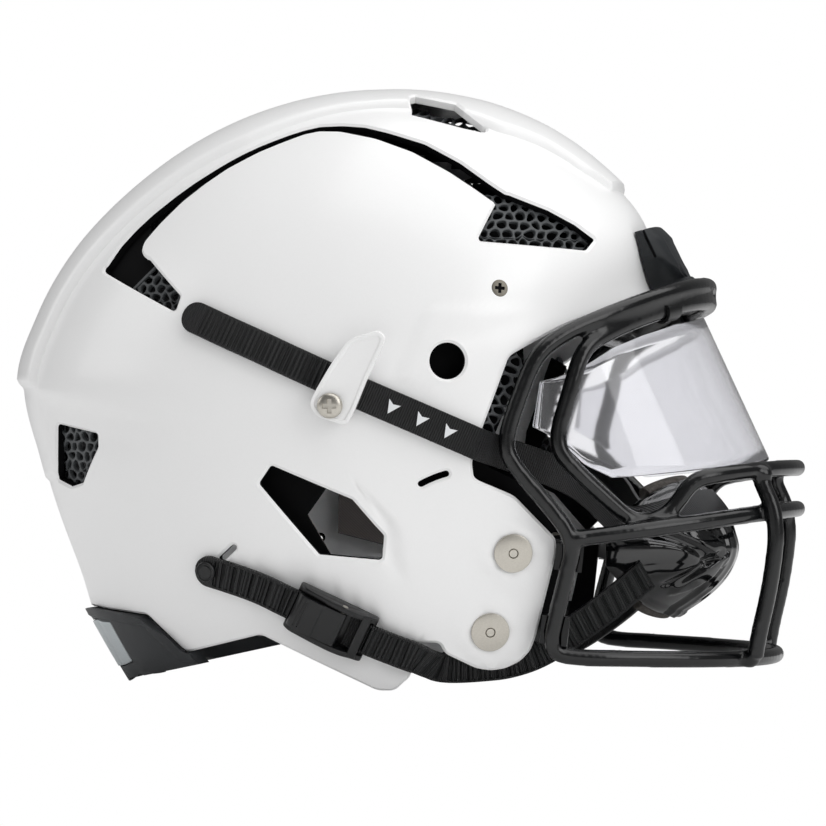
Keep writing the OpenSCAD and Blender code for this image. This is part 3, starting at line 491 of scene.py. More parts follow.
@dataclass(frozen=True)
class ShellForm:
    """The drawn surface of the shell, in rays round the ear side."""

    pole: Pair = (-20.0, 120.0)
    half_width: float = 120.0
    wall: float = 3.6
    # Each ray's angle, its length to the middle plane, and how square the shell is along it
    rays: tuple = (
        (-75, 250, 1.7), (-45, 250, 1.5), (-22, 220, 1.55), (0, 150, 1.9), (20, 137, 2.15), (32, 145.5, 2.2),
        (45, 143.5, 2.25), (75, 135, 2.25), (105, 129.4, 2.15), (135, 131, 2.1), (165, 141.2, 2.1),
        (176, 145.5, 2.1), (190, 140, 2.1), (205, 139.6, 2.1), (215, 144, 2.1), (230, 161.5, 2.05),
        (255, 205, 1.9), (285, 250, 1.7),
    )

    def ray(self, turn: Array) -> tuple[Array, Array]:
        """Gives the length and squareness of the rays at the given turns in degrees.

        Args:
            turn: The turns.

        Returns:
            The lengths, and the squarenesses.
        """
        table = np.array(self.rays, float)
        count = len(table) - 1
        turn = (np.asarray(turn, float) - table[0, 0]) % 360 + table[0, 0]
        i = np.clip(np.searchsorted(table[:, 0], turn, side="right") - 1, 0, count - 1)
        step = np.array([360.0, 0, 0])
        q, r = table[i], table[i + 1]
        p = np.where((i == 0)[..., None], table[count - 1] - step, table[np.maximum(i - 1, 0)])
        s = np.where((i == count - 1)[..., None], table[1] + step, table[np.minimum(i + 2, count)])
        h = (r - q)[..., :1]
        u = ((turn - q[..., 0]) / h[..., 0])[..., None]
        m = (r - p) / (r - p)[..., :1] * h
        k = (s - q) / (s - q)[..., :1] * h
        v = ((2 * u ** 3 - 3 * u ** 2 + 1) * q + (u ** 3 - 2 * u ** 2 + u) * m
             + (3 * u ** 2 - 2 * u ** 3) * r + (u ** 3 - u ** 2) * k)
        return v[..., 1], v[..., 2]

    def skin(self, a: Array, b: Array) -> Array:
        """Gives points of the outside, a degrees about the ear and b from the middle plane to the sides.

        Args:
            a: Degrees about the ear.
            b: Degrees from the middle plane to the sides.

        Returns:
            The points, in millimetres.
        """
        a, b = np.broadcast_arrays(np.asarray(a, float), np.asarray(b, float))
        length, square = self.ray(a)
        power = 2 / square
        t = np.maximum(np.cos(np.radians(b)), 0) ** power
        y = np.sign(b) * self.half_width * np.abs(np.sin(np.radians(b))) ** power
        return np.stack([self.pole[0] + length * t * np.cos(np.radians(a)), y,
                         self.pole[1] + length * t * np.sin(np.radians(a))], -1)

    def over(self, a: Array, b: Array, d: Array | float) -> Array:
        """Gives points on or off the surface.

        Args:
            a: Degrees about the ear.
            b: Degrees from the middle plane to the sides.
            d: Millimetres out along the surface's normal.

        Returns:
            The points.
        """
        a, b, d = np.broadcast_arrays(np.asarray(a, float), np.asarray(b, float), np.asarray(d, float))
        u = self.skin(a + 0.5, b) - self.skin(a - 0.5, b)
        v = self.skin(a, b + 0.5) - self.skin(a, b - 0.5)
        n = np.cross(v, u)
        size = np.linalg.norm(n, axis=-1, keepdims=True)
        side = np.stack([0 * b, np.sign(b), 0 * b], -1)
        n = np.where((np.abs(b) > 89.4)[..., None], side, n / np.maximum(size, 1e-12))
        return self.skin(a, b) + d[..., None] * n

    def normal_at(self, p: Array) -> Array:
        """Gives the surface's normal near a point of it.

        Args:
            p: The points.

        Returns:
            The normals, of length one.
        """
        a = np.degrees(np.arctan2(p[..., 2] - self.pole[1], p[..., 0] - self.pole[0]))
        _, square = self.ray(a)
        b = np.sign(p[..., 1]) * np.degrees(np.arcsin(
            np.minimum(1, np.abs(p[..., 1]) / self.half_width) ** (square / 2)))
        b = np.clip(b, -89.3, 89.3)
        return self.over(a, b, 1.0) - self.over(a, b, 0.0)

    def turn_at(self, a: Array, y: Array) -> Array:
        """Gives the b at which the surface along ray a reaches the half width y.

        Args:
            a: The rays.
            y: The half widths, signed.

        Returns:
            The turns, in degrees.
        """
        _, square = self.ray(a)
        reach = (np.abs(y) / self.half_width) ** (square / 2)
        return np.sign(y) * np.degrees(np.arcsin(np.minimum(1, reach)))

    def turns(self, x: float, z: float, side: int) -> Pair:
        """Gives the ray and the turn of a side view point on one side.

        Args:
            x: Place forward.
            z: Place up.
            side: RIGHT or LEFT.

        Returns:
            The ray and the turn, in degrees.
        """
        a = math.degrees(math.atan2(z - self.pole[1], x - self.pole[0]))
        length, square = self.ray(np.array(a))
        share = (math.hypot(x - self.pole[0], z - self.pole[1]) / float(length)) ** (float(square) / 2)
        return a, side * math.degrees(math.acos(min(1.0, share)))

    def wall_point(self, x: float, z: float, side: int, d: float = 0.0) -> Array:
        """Gives the point of the side wall at x and z, moved d millimetres out."""
        a, b = self.turns(x, z, side)
        return self.over(np.array(a), np.array(b), d)

    def wall_frame(self, x: float, z: float, d: float = 0.0, turn: float = 0.0) -> Matrix:
        """Gives the right wall's own frame: z out of the wall, x forward, turned in the wall.

        Args:
            x: Side view place, forward.
            z: Side view place, up.
            d: Distance out of the wall.
            turn: Degrees about the wall's normal.

        Returns:
            The matrix that takes a piece, modelled in metres at the origin, to the wall.
        """
        out = self.wall_point(x, z, RIGHT, 1) - self.wall_point(x, z, RIGHT, 0)
        out /= np.linalg.norm(out)
        along = np.array([1.0, 0, 0]) - out[0] * out
        along /= np.linalg.norm(along)
        across = np.cross(out, along)
        origin = self.wall_point(x, z, RIGHT, d) * MM
        frame_of_wall = Matrix([(along[i], across[i], out[i], origin[i]) for i in range(3)] + [(0, 0, 0, 1)])
        return frame_of_wall @ Matrix.Rotation(math.radians(turn), 4, "Z")


FORM = ShellForm()


def grid_faces(rows: int, columns: int, round_rows: bool = False) -> list:
    """Gives the faces of a grid of points, stored row by row.

    Args:
        rows: Rows of points.
        columns: Points in a row.
        round_rows: Whether the last row meets the first.

    Returns:
        The faces as point numbers.
    """
    return [
        [i * columns + j, (i + 1) % rows * columns + j, (i + 1) % rows * columns + j + 1, i * columns + j + 1]
        for i in range(rows if round_rows else rows - 1) for j in range(columns - 1)
    ]


def slab(name: str, outer: Array, inner: Array) -> Piece:
    """Makes a closed solid between two grids of points of the same size.

    Args:
        name: The piece's name.
        outer: Points of its outside, in rows.
        inner: Points of its inside, in the same rows.

    Returns:
        The closed solid.
    """
    rows, columns = outer.shape[:2]
    count = rows * columns
    faces = grid_faces(rows, columns)
    faces += [[count + v for v in reversed(f)] for f in grid_faces(rows, columns)]
    rim = [i * columns for i in range(rows)]
    rim += [(rows - 1) * columns + j for j in range(1, columns)]
    rim += [i * columns + columns - 1 for i in range(rows - 2, -1, -1)]
    rim += list(range(columns - 2, 0, -1))
    for here, after in zip(rim, rim[1:] + rim[:1]):
        faces.append([here, count + here, count + after, after])
    return outward(new_object(name, np.concatenate([outer.reshape(-1, 3), inner.reshape(-1, 3)]), faces))


def rounded(points: Sequence[Point], radius: float, pieces: int = 5) -> Array:
    """Rounds the corners of an outline.

    Args:
        points: The outline's corners.
        radius: How far a corner's rounding reaches, up to a bit less than half its shorter leg.
        pieces: Legs in each rounded corner.

    Returns:
        The rounded outline.
    """
    p = [np.asarray(q, float) for q in points]
    out = []
    for i, here in enumerate(p):
        before, after = p[i - 1], p[(i + 1) % len(p)]
        back, on = np.linalg.norm(before - here), np.linalg.norm(after - here)
        reach = min(radius, 0.45 * back, 0.45 * on)
        start, end = here + (before - here) * reach / back, here + (after - here) * reach / on
        out += [arch(start, here, end, k / pieces) for k in range(pieces + 1)]
    return np.array(out)


def signed_area(outline: Array) -> float:
    """Gives twice the area of an outline, below zero where its points run clockwise."""
    return np.sum(outline[:, 0] * np.roll(outline[:, 1], -1) - np.roll(outline[:, 0], -1) * outline[:, 1])


def grown(points: Sequence[Point], radius: float, pieces: int = 4) -> Array:
    """Gives the round-cornered outline that lies radius outside a convex one.

    Args:
        points: The convex outline's corners.
        radius: How far outside it the result lies.
        pieces: Legs in each round corner.

    Returns:
        The larger outline, anticlockwise.
    """
    p = np.array(points, float)
    if signed_area(p) < 0:
        p = p[::-1]
    out = []
    for i, here in enumerate(p):
        back, on = here - p[i - 1], p[(i + 1) % len(p)] - here
        first = math.atan2(-back[0], back[1])
        last = math.atan2(-on[0], on[1])
        turn = (last - first + math.pi) % (2 * math.pi) - math.pi
        for k in range(pieces + 1):
            angle = first + turn * k / pieces
            out.append(here + radius * np.array([math.cos(angle), math.sin(angle)]))
    return np.array(out)


def oblong(x0: float, z0: float, x1: float, z1: float) -> Array:
    """Gives the outline of an upright rectangle between two opposite corners."""
    return np.array(((x0, z0), (x1, z0), (x1, z1), (x0, z1)), float)


def in_field(corners: Sequence[Point], s: Array, t: Array) -> Array:
    """Gives the points at shares s and t of a field with four corners, the first two of them along s.

    Args:
        corners: The four corners.
        s: Shares along.
        t: Shares across.

    Returns:
        The points.
    """
    c = np.array(corners, float)
    return ((1 - t)[..., None] * ((1 - s)[..., None] * c[0] + s[..., None] * c[1])
            + t[..., None] * ((1 - s)[..., None] * c[2] + s[..., None] * c[3]))


def prism(name: str, outline: Array, low: float, high: float) -> Piece:
    """Makes a solid from a side view outline.

    Args:
        name: The piece's name.
        outline: Its corners in x and z.
        low: Its lower end in y.
        high: Its upper end in y.

    Returns:
        The closed solid.
    """
    count = len(outline)
    points = [(x, y, z) for y in (low, high) for x, z in outline]
    faces = [list(range(count)), list(range(2 * count - 1, count - 1, -1))]
    faces += [[i, (i + 1) % count, count + (i + 1) % count, count + i] for i in range(count)]
    return outward(new_object(name, np.array(points), faces))


def edge_distance(x: Array, z: Array, outline: Sequence[Point]) -> Array:
    """Gives the distance in the side view from points to an outline.

    Args:
        x: The points' places forward.
        z: The points' places up.
        outline: The outline's corners.

    Returns:
        The distances, above zero inside the outline.
    """
    p = np.array(outline, float)
    best = np.full(x.shape, 1e9)
    inside = np.zeros(x.shape, bool)
    for (x0, z0), (x1, z1) in zip(p, np.roll(p, -1, axis=0)):
        dx, dz = x1 - x0, z1 - z0
        t = np.clip(((x - x0) * dx + (z - z0) * dz) / (dx * dx + dz * dz), 0, 1)
        best = np.minimum(best, np.hypot(x - x0 - t * dx, z - z0 - t * dz))
        if dz:
            inside ^= ((z0 > z) != (z1 > z)) & (x < x0 + (z - z0) * dx / dz)
    return np.where(inside, best, -best)


def ramp(value: Array, low: float, high: float) -> Array:
    """Gives a smooth step from 0 at low to 1 at high.

    Args:
        value: The values.
        low: Where the step starts.
        high: Where it ends.

    Returns:
        The steps.
    """
    t = np.clip((np.asarray(value, float) - low) / (high - low), 0, 1)
    return t * t * (3 - 2 * t)


@dataclass(frozen=True)
class Cut:
    """One opening, or the edge: its line in x and z, the way to its open side, and its reach in y."""

    line: Array
    fall: Array
    low: float
    high: float
    kept: bool = False
    # Whether the wall of the opening below its chamfer is painted black: painted shade inside the opening
    painted_shade: bool = False


@dataclass
class Shell:
    """The moulded shell: one wall with a raised band over the crown, vents, slots and sunk fields."""

    row_step: float = 1.25
    side_columns: int = 50
    crown_columns: int = 14
    ridge_height: float = 4.0
    rim_chamfer: float = 1.1
    rim_depth: float = 0.9
    corner: float = 1.5
    edge_radius: float = 2.2
    # Round port: its middle in x and z, and its diameter
    port: Triple = (33.0, 135.2, 15.0)
    half: tuple = ((-75, 40), (-20, 40), (38, 26), (44, 37), (52, 42), (60, 50), (76, 48), (90, 52), (110, 60),
                   (160, 57), (195, 56), (285, 40))
    rise: tuple = ((38.0, 0), (38.6, 0.06), (39.1, 0.6), (39.6, 0.84), (55, 1.08), (65, 1.1), (85, 0.82),
                   (100, 0.95), (130, 1.02), (150, 1.17), (176, 1.1), (176.7, 0.85), (177.4, 0.42), (178, 0.32),
                   (193.4, 0.3), (194.4, 0))
    profile: tuple = ((0, 1), (0.5, 0.98), (0.91, 0.9), (0.94, 0.86), (0.96, 0.7), (0.98, 0.36), (0.995, 0.08),
                      (1.02, 0))
    edge: tuple = (
        (128, 172), (108.6, 167.5), (104.8, 163.4), (91, 156.5), (76, 149.3), (61, 140), (57, 137.4), (47, 109),
        (42.3, 94), (43, 88), (45, 86.4), (59, 80.3), (75, 63), (75.5, 59.7), (75, 55), (66.5, 22.3),
        (64.3, 16.5), (60, 12), (54, 9.1), (48.5, 8.3), (42.5, 9.2), (30, 15.5), (28, 20), (16, 20), (16, 6.3),
        (9, 0), (2, 0), (-41, 20.6), (-46, 23), (-80, 14.8), (-97, 29.5), (-98.5, 30.3), (-130, 32.6),
        (-142, 30), (-200, 30), (-200, 280), (128, 280),
    )
    slot: tuple = (
        (-118.8, 175.5), (-112.6, 185.4), (-106.4, 192.2), (-99.2, 198.8), (-89.3, 206.4), (-81.4, 212),
        (-73.1, 217.2), (-66.8, 221), (-60.3, 224.5), (-53.9, 227.5), (-47.4, 230.1), (-41, 232.5),
        (-34.6, 234.5), (-28, 235.9), (-18, 236), (-8, 235), (2.5, 232.2), (18.5, 227), (34, 218.5),
        (46.5, 209.5), (54, 204.5), (49.2, 201.5), (41, 207.3), (30, 214.6), (14, 223.4), (-2, 229.4),
        (-18, 233), (-27.4, 233.4), (-33.9, 232.2), (-43.4, 228.6), (-53.1, 224.6), (-65.8, 217.9),
        (-75.2, 211.4), (-84.8, 203.8), (-94.1, 194.4), (-100.4, 186.8), (-101.2, 183.2), (-99.7, 180.7),
        (-96, 178.2), (-84, 166.6), (-84, 158.4),
    )
    rear_slot_vent: tuple = ((-117.5, 175.5), (-82.7, 158.3), (-81.5, 162.5), (-97, 177.5))
    front_vent: tuple = ((51, 200), (54, 203.5), (69.5, 197.5), (80, 191.8), (87, 186.5), (85, 183.5), (45.5, 186.3))
    rear_vent: tuple = ((-139.5, 108.6), (-120, 104.8), (-120, 100.6), (-128.5, 86.6), (-134.3, 85.2), (-141.5, 87.5))
    jaw_vent: tuple = ((-38.5, 91), (-42.5, 85.4), (-19, 57.7), (4.5, 55.6), (5.2, 63.6), (-6.5, 77.6))
    top_vent: tuple = ((9, 249), (11, 242), (33, 236), (40, 234.5), (27, 245))
    top_vent_reach: Pair = (27.0, 60.0)
    slits: tuple = (((-61.4, 54.3), (-56, 58.9)), ((22, 85.2), (27, 87.9), (32, 89.3)))
    slit_width: float = 2.6
    port_field: tuple = ((24.6, 157), (84, 158), (56, 137), (46.3, 109.2), (14, 128.6))
    strap_field: tuple = ((-58.7, 57.7), (-26.3, 48.4), (4.4, 31.2), (6.2, 27.1), (24, 18), (16, 4), (-2.5, 13.8),
                          (-3.9, 10.1), (-36.6, 32.3), (-60, 42))
    vent_field: tuple = ((-44, 97), (-2, 84), (12, 70), (14, 50), (8, 46), (4, 74), (-8, 86))
    # Height of the field round the port, and depths of the fields under the straps and by the jaw vent
    port_rise: float = 1.0
    strap_sink: float = 1.6
    vent_sink: float = 1.5
    # Crease from the rear edge: a place on it in x and z, its fall per millimetre, and the depth under it
    crease: tuple[float, float, float, float] = (-154.7, 125.8, 0.183, 1.9)

    def ridge_at(self, a: Array, share: Array) -> Array:
        """Gives the band's height on the shell, at rays a and shares of its half width."""
        rows = np.interp(a, *zip(*self.rise), left=0, right=0)
        return self.ridge_height * rows * np.interp(np.abs(share), *zip(*self.profile))

    def relief(self, p: Array) -> Array:
        """Gives how far the side wall stands proud of the plain form, in millimetres.

        Args:
            p: Points of the plain form.

        Returns:
            The heights, below zero where the wall is sunk.
        """
        x, z, y = p[..., 0], p[..., 2], np.abs(p[..., 1])
        # The field round the port is raised, and runs out forwards and downwards
        port = edge_distance(x, z, self.port_field)
        out = self.port_rise * ramp(port, -1.2, 1.6) * ramp(x, 75, 45) * ramp(z, 112, 136)
        out -= self.strap_sink * ramp(edge_distance(x, z, self.strap_field), -0.1, 1.3) * ramp(x, -62, -40)
        out -= self.vent_sink * ramp(edge_distance(x, z, self.vent_field), -0.3, 2.2)
        # Each release cap has a ring round it and lies a little sunk inside it
        for _, (cx, cz) in CAP_PLACES:
            r = np.hypot(x - cx, z - cz)
            out += 0.9 * ramp(r, 8.4, 9.6) * ramp(r, 14.2, 10.6) - 0.25 * ramp(r, 9.4, 8.2)
        r = np.hypot(x - self.port[0], z - self.port[1])
        out += 0.35 * ramp(r, 10.5, 8.6)
        # Under the crease the wall lies deeper
        crease_x, crease_z, fall, sink = self.crease
        under = (crease_z - fall * (x - crease_x)) - z
        out -= sink * ramp(under, -1, 6) * ramp(under, 30, 10) * ramp(x, -70, -110)
        return out * ramp(y, 45, 60)

    def whole(self) -> Piece:
        """Makes the closed outer form with the band and the sunk fields.

        Returns:
            The closed form.
        """
        rows = sorted({*np.arange(-75, 285, self.row_step), *[r[0] for r in self.rise]})
        a = np.array(rows)[:, None]
        half = np.interp(a, *zip(*self.half))
        shares = [p[0] for p in self.profile[2:]]
        centre = list(np.linspace(0, self.profile[2][0], self.crown_columns)[1:-1])
        near = np.array([0, *centre, *shares])
        near_turns = FORM.turn_at(a, near * half)
        far = np.linspace(0, 1, self.side_columns + 1)[1:-1]
        far_turns = near_turns[:, -1:] + (90 - near_turns[:, -1:]) * far
        b = np.concatenate([-far_turns[:, ::-1], -near_turns[:, :0:-1], near_turns, far_turns], 1)
        share = np.concatenate([np.full(len(far), 2.0), near[:0:-1], near, np.full(len(far), 2.0)])
        plain = FORM.skin(a, b)
        d = self.ridge_at(np.broadcast_to(a, b.shape), np.broadcast_to(share, b.shape)) + self.relief(plain)
        grid = FORM.over(a, b, d)
        rows_count, columns = grid.shape[:2]
        poles = np.array([[FORM.pole[0], side * FORM.half_width, FORM.pole[1]] for side in (RIGHT, LEFT)])
        faces = grid_faces(rows_count, columns, round_rows=True)
        count = rows_count * columns
        for i in range(rows_count):
            j = (i + 1) % rows_count
            faces.append([i * columns, count, j * columns])
            faces.append([j * columns + columns - 1, count + 1, i * columns + columns - 1])
        return outward(new_object("outer_shell_form", np.concatenate([grid.reshape(-1, 3), poles]), faces))

    def cuts(self) -> list[Cut]:
        """Gives every opening of the wall, and last the edge that the wall is kept within.

        Returns:
            The cuts, in the order in which their rims are looked up.
        """
        reach = FORM.half_width + 12
        low, high = self.top_vent_reach
        outlines = [rounded(self.slot, 1.6)]
        for points in (self.rear_slot_vent, self.front_vent, self.rear_vent, self.jaw_vent):
            outlines.append(grown(points, self.corner))
        outlines += [self.slit_outline(line) for line in self.slits]
        outlines.append(self.port_outline())
        # The walls of these openings are painted black below their chamfers: painted shade inside the openings
        made = [self.cut(outline, -reach, reach, painted_shade=True) for outline in outlines]
        for side in (RIGHT, LEFT):
            made.append(self.cut(grown(self.top_vent, self.corner), *sorted((side * low, side * high))))
        made.append(self.cut(rounded(self.edge, self.edge_radius, 6), -reach - 3, reach + 3, kept=True))
        return made

    def cut(self, outline: Array, low: float, high: float, kept: bool = False, painted_shade: bool = False) -> Cut:
        """Gives a cut whose line lies a chamfer's width off the opening's own outline.

        Args:
            outline: The opening's outline in x and z, or the edge of the kept part.
            low: Lower end of the cut in y.
            high: Upper end of the cut in y.
            kept: Whether the outline keeps what is inside it.
            painted_shade: Whether the wall of the cut below its chamfer is painted black, as painted shade inside the
                opening.

        Returns:
            The cut, with the direction towards the open side at each of its points.
        """
        line = outline if signed_area(outline) > 0 else outline[::-1]
        legs = np.roll(line, -1, axis=0) - line
        sides = np.stack([-legs[:, 1], legs[:, 0]], -1) / np.linalg.norm(legs, axis=1, keepdims=True)
        inward = sides + np.roll(sides, 1, axis=0)
        inward /= np.linalg.norm(inward, axis=1, keepdims=True)
        fall = -inward if kept else inward
        widths = []
        for (x, z), g in zip(line, fall):
            n = FORM.normal_at(FORM.wall_point(x, z, RIGHT))
            lean = (n[0] * g[0] + n[2] * g[1]) / min(n[1], -0.12)
            widths.append(self.rim_chamfer / math.hypot(1, lean))
        return Cut(line - fall * np.array(widths)[:, None], fall, low, high, kept, painted_shade)

    def port_outline(self) -> Array:
        """Gives the side view outline of the round port.

        Returns:
            Its points in x and z.
        """
        x, z, diameter = self.port
        place = FORM.wall_frame(x, z)
        turns = np.linspace(0, 2 * math.pi, 56, endpoint=False)
        ring = [place @ (Vector((math.cos(t), math.sin(t), 0)) * diameter / 2 * MM) / MM for t in turns]
        return np.array([(p.x, p.z) for p in ring])

    def slit_outline(self, line: Sequence[Point]) -> Array:
        """Gives the outline of a round-ended slit along a line of points.

        Args:
            line: The slit's middle line in x and z.

        Returns:
            The outline's points.
        """
        line = bent(line, 4) if len(line) > 2 else np.array(line, float)
        radius = self.slit_width / 2
        out = []
        for points in (line, line[::-1]):
            for i in range(len(points) - 1):
                along = (points[i + 1] - points[i]) / np.linalg.norm(points[i + 1] - points[i])
                out.append(points[i] + radius * np.array([along[1], -along[0]]))
            for k in range(6):
                angle = math.atan2(-along[0], along[1]) + math.pi * k / 6
                out.append(points[-1] + radius * np.array([math.cos(angle), math.sin(angle)]))
        return np.array(out)

    def opened_skin(self, cuts: Sequence[Cut]) -> Piece:
        """Makes the open outer skin, cut to its edge and its openings.

        Args:
            cuts: The openings and the edge.

        Returns:
            The wall with its rims.
        """
        skin = self.whole()
        plain = bpy.data.materials.new("cut_keep")
        waste = bpy.data.materials.new("cut_waste")
        skin.data.materials.append(plain)
        for cut in cuts[::-1]:
            cutter = prism("cut", cut.line, cut.low, cut.high)
            cutter.data.materials.append(waste)
            modify(skin, "BOOLEAN", operation="INTERSECT" if cut.kept else "DIFFERENCE", object=cutter,
                   solver="EXACT", material_mode="TRANSFER")
            bpy.data.objects.remove(cutter)
        bad = {i for i, m in enumerate(skin.data.materials) if m == waste}
        bm = bmesh.new()
        bm.from_mesh(skin.data)
        bmesh.ops.delete(bm, geom=[f for f in bm.faces if f.material_index in bad], context="FACES")
        self.wall_rims(bm, cuts)
        bm.to_mesh(skin.data)
        bm.free()
        skin.data.materials.clear()
        bpy.data.materials.remove(plain)
        bpy.data.materials.remove(waste)
        return skin

    def wall_rims(self, bm: bmesh.types.BMesh, cuts: Sequence[Cut]) -> None:
        """Gives the skin its inner side, and every rim its chamfer and its wall, and marks the walls that are painted
        black as painted shade.

        Args:
            bm: The cut outer skin.
            cuts: The cuts that made its rims.
        """
        bmesh.ops.dissolve_degenerate(bm, dist=0.01 * MM, edges=bm.edges[:])
        bmesh.ops.remove_doubles(bm, verts=[v for v in bm.verts if v.is_boundary], dist=0.03 * MM)
        outs = FORM.normal_at(np.array([v.co[:] for v in bm.verts]) / MM)
        for v, out in zip(bm.verts, outs):
            v.normal = Vector(out)
        bm.verts.index_update()
        outer_faces = bm.faces[:]
        rims = [(e.link_loops[0].vert, e.link_loops[0].link_loop_next.vert) for e in bm.edges if e.is_boundary]
        inner = {v: bm.verts.new(v.co - v.normal * FORM.wall * MM) for v in bm.verts[:]}
        for face in outer_faces:
            bm.faces.new([inner[v] for v in reversed(face.verts)])
        rows, painted_shade = {}, bm.faces.layers.int.new("painted_shade")
        for v in {v for pair in rims for v in pair}:
            fall, dark = self.fall_at(np.array(v.co) / MM, cuts)
            across = (fall - fall.dot(v.normal) * v.normal).normalized()
            edge = v.co + across * self.rim_chamfer * MM
            rows[v] = [v, bm.verts.new(edge - v.normal * self.rim_depth * MM),
                       bm.verts.new(edge - v.normal * FORM.wall * MM), inner[v], dark]
        # Below the chamfer, the walls of marked cuts are painted black: painted shade inside the openings
        for a, b in rims:
            for k in range(3):
                face = bm.faces.new((rows[b][k], rows[a][k], rows[a][k + 1], rows[b][k + 1]))
                face[painted_shade] = int(k > 0 and rows[a][4] and rows[b][4])

    def fall_at(self, p: Array, cuts: Sequence[Cut]) -> tuple[Vector, bool]:
        """Gives the direction towards the open side at a point of a rim, and whether its wall is painted black as
        painted shade.

        Args:
            p: The point.
            cuts: The openings and the edge.

        Returns:
            The direction, and whether the wall there is painted black as painted shade.
        """
        best = (1e9, None, False)
        for cut in cuts:
            if not cut.low - 0.1 < p[1] < cut.high + 0.1:
                continue
            start, end = cut.line, np.roll(cut.line, -1, axis=0)
            leg = end - start
            t = np.clip(np.sum((p[[0, 2]] - start) * leg, 1) / np.sum(leg * leg, 1), 0, 1)
            gap = np.linalg.norm(start + leg * t[:, None] - p[[0, 2]], axis=1)
            i = int(np.argmin(gap))
            if gap[i] < best[0]:
                best = (gap[i], lerp(cut.fall[i], cut.fall[(i + 1) % len(start)], t[i]), cut.painted_shade)
        return Vector((best[1][0], 0, best[1][1])), best[2]

    def build(self) -> Piece:
        """Builds and dresses the shell.

        Returns:
            The dressed shell.
        """
        shell = self.opened_skin(self.cuts())
        shell.name = shell.data.name = "shell"
        smoothed(shell, 32)
        dress(shell, SHELL_WHITE, nodes=["outer_shell"])
        # The marked walls get the black as their second material: painted shade inside the openings
        shell.data.materials.append(LINING_AND_SHADE.material())
        marks = np.zeros(len(shell.data.polygons), int)
        shell.data.attributes["painted_shade"].data.foreach_get("value", marks)
        shell.data.polygons.foreach_set("material_index", marks)
        shell.data.attributes.remove(shell.data.attributes["painted_shade"])
        return shell


def tube(name: str, route: Array, radius: float, closed: bool = False) -> Piece:
    """Makes a round bar along a route.

    Args:
        name: The piece's name.
        route: Its points.
        radius: The bar's radius.
        closed: Whether it runs round, where an open one has domed ends.

    Returns:
        The bar.
    """
    data = bpy.data.curves.new(name, "CURVE")
    data.dimensions = "3D"
    data.bevel_depth = radius * MM
    data.bevel_resolution = 6
    data.use_fill_caps = True
    spline = data.splines.new("POLY")
    spline.points.add(len(route) - 1)
    for point, place in zip(spline.points, route):
        point.co = (*(place * MM), 1)
    spline.use_cyclic_u = closed
    pick(linked(name, data))
    bpy.ops.object.convert(target="MESH")
    obj = bpy.context.active_object
    outward(obj)
    if not closed:
        bevelled(obj, radius * 0.45, 3, 50)
    return smoothed(obj, 50)


def bead(place: Point, size: Point) -> Piece:
    """Makes a smooth round bead of weld at a place, with half sizes along x, y and z.

    Args:
        place: Its middle.
        size: Its half sizes.

    Returns:
        The bead.
    """
    deselect()
    bpy.ops.mesh.primitive_uv_sphere_add(segments=20, ring_count=12, radius=MM)
    obj = bpy.context.active_object
    obj.data.transform(Matrix.Translation(Vector(place) * MM) @ Matrix.Diagonal((*size, 1)))
    bpy.ops.object.shade_smooth()
    return obj


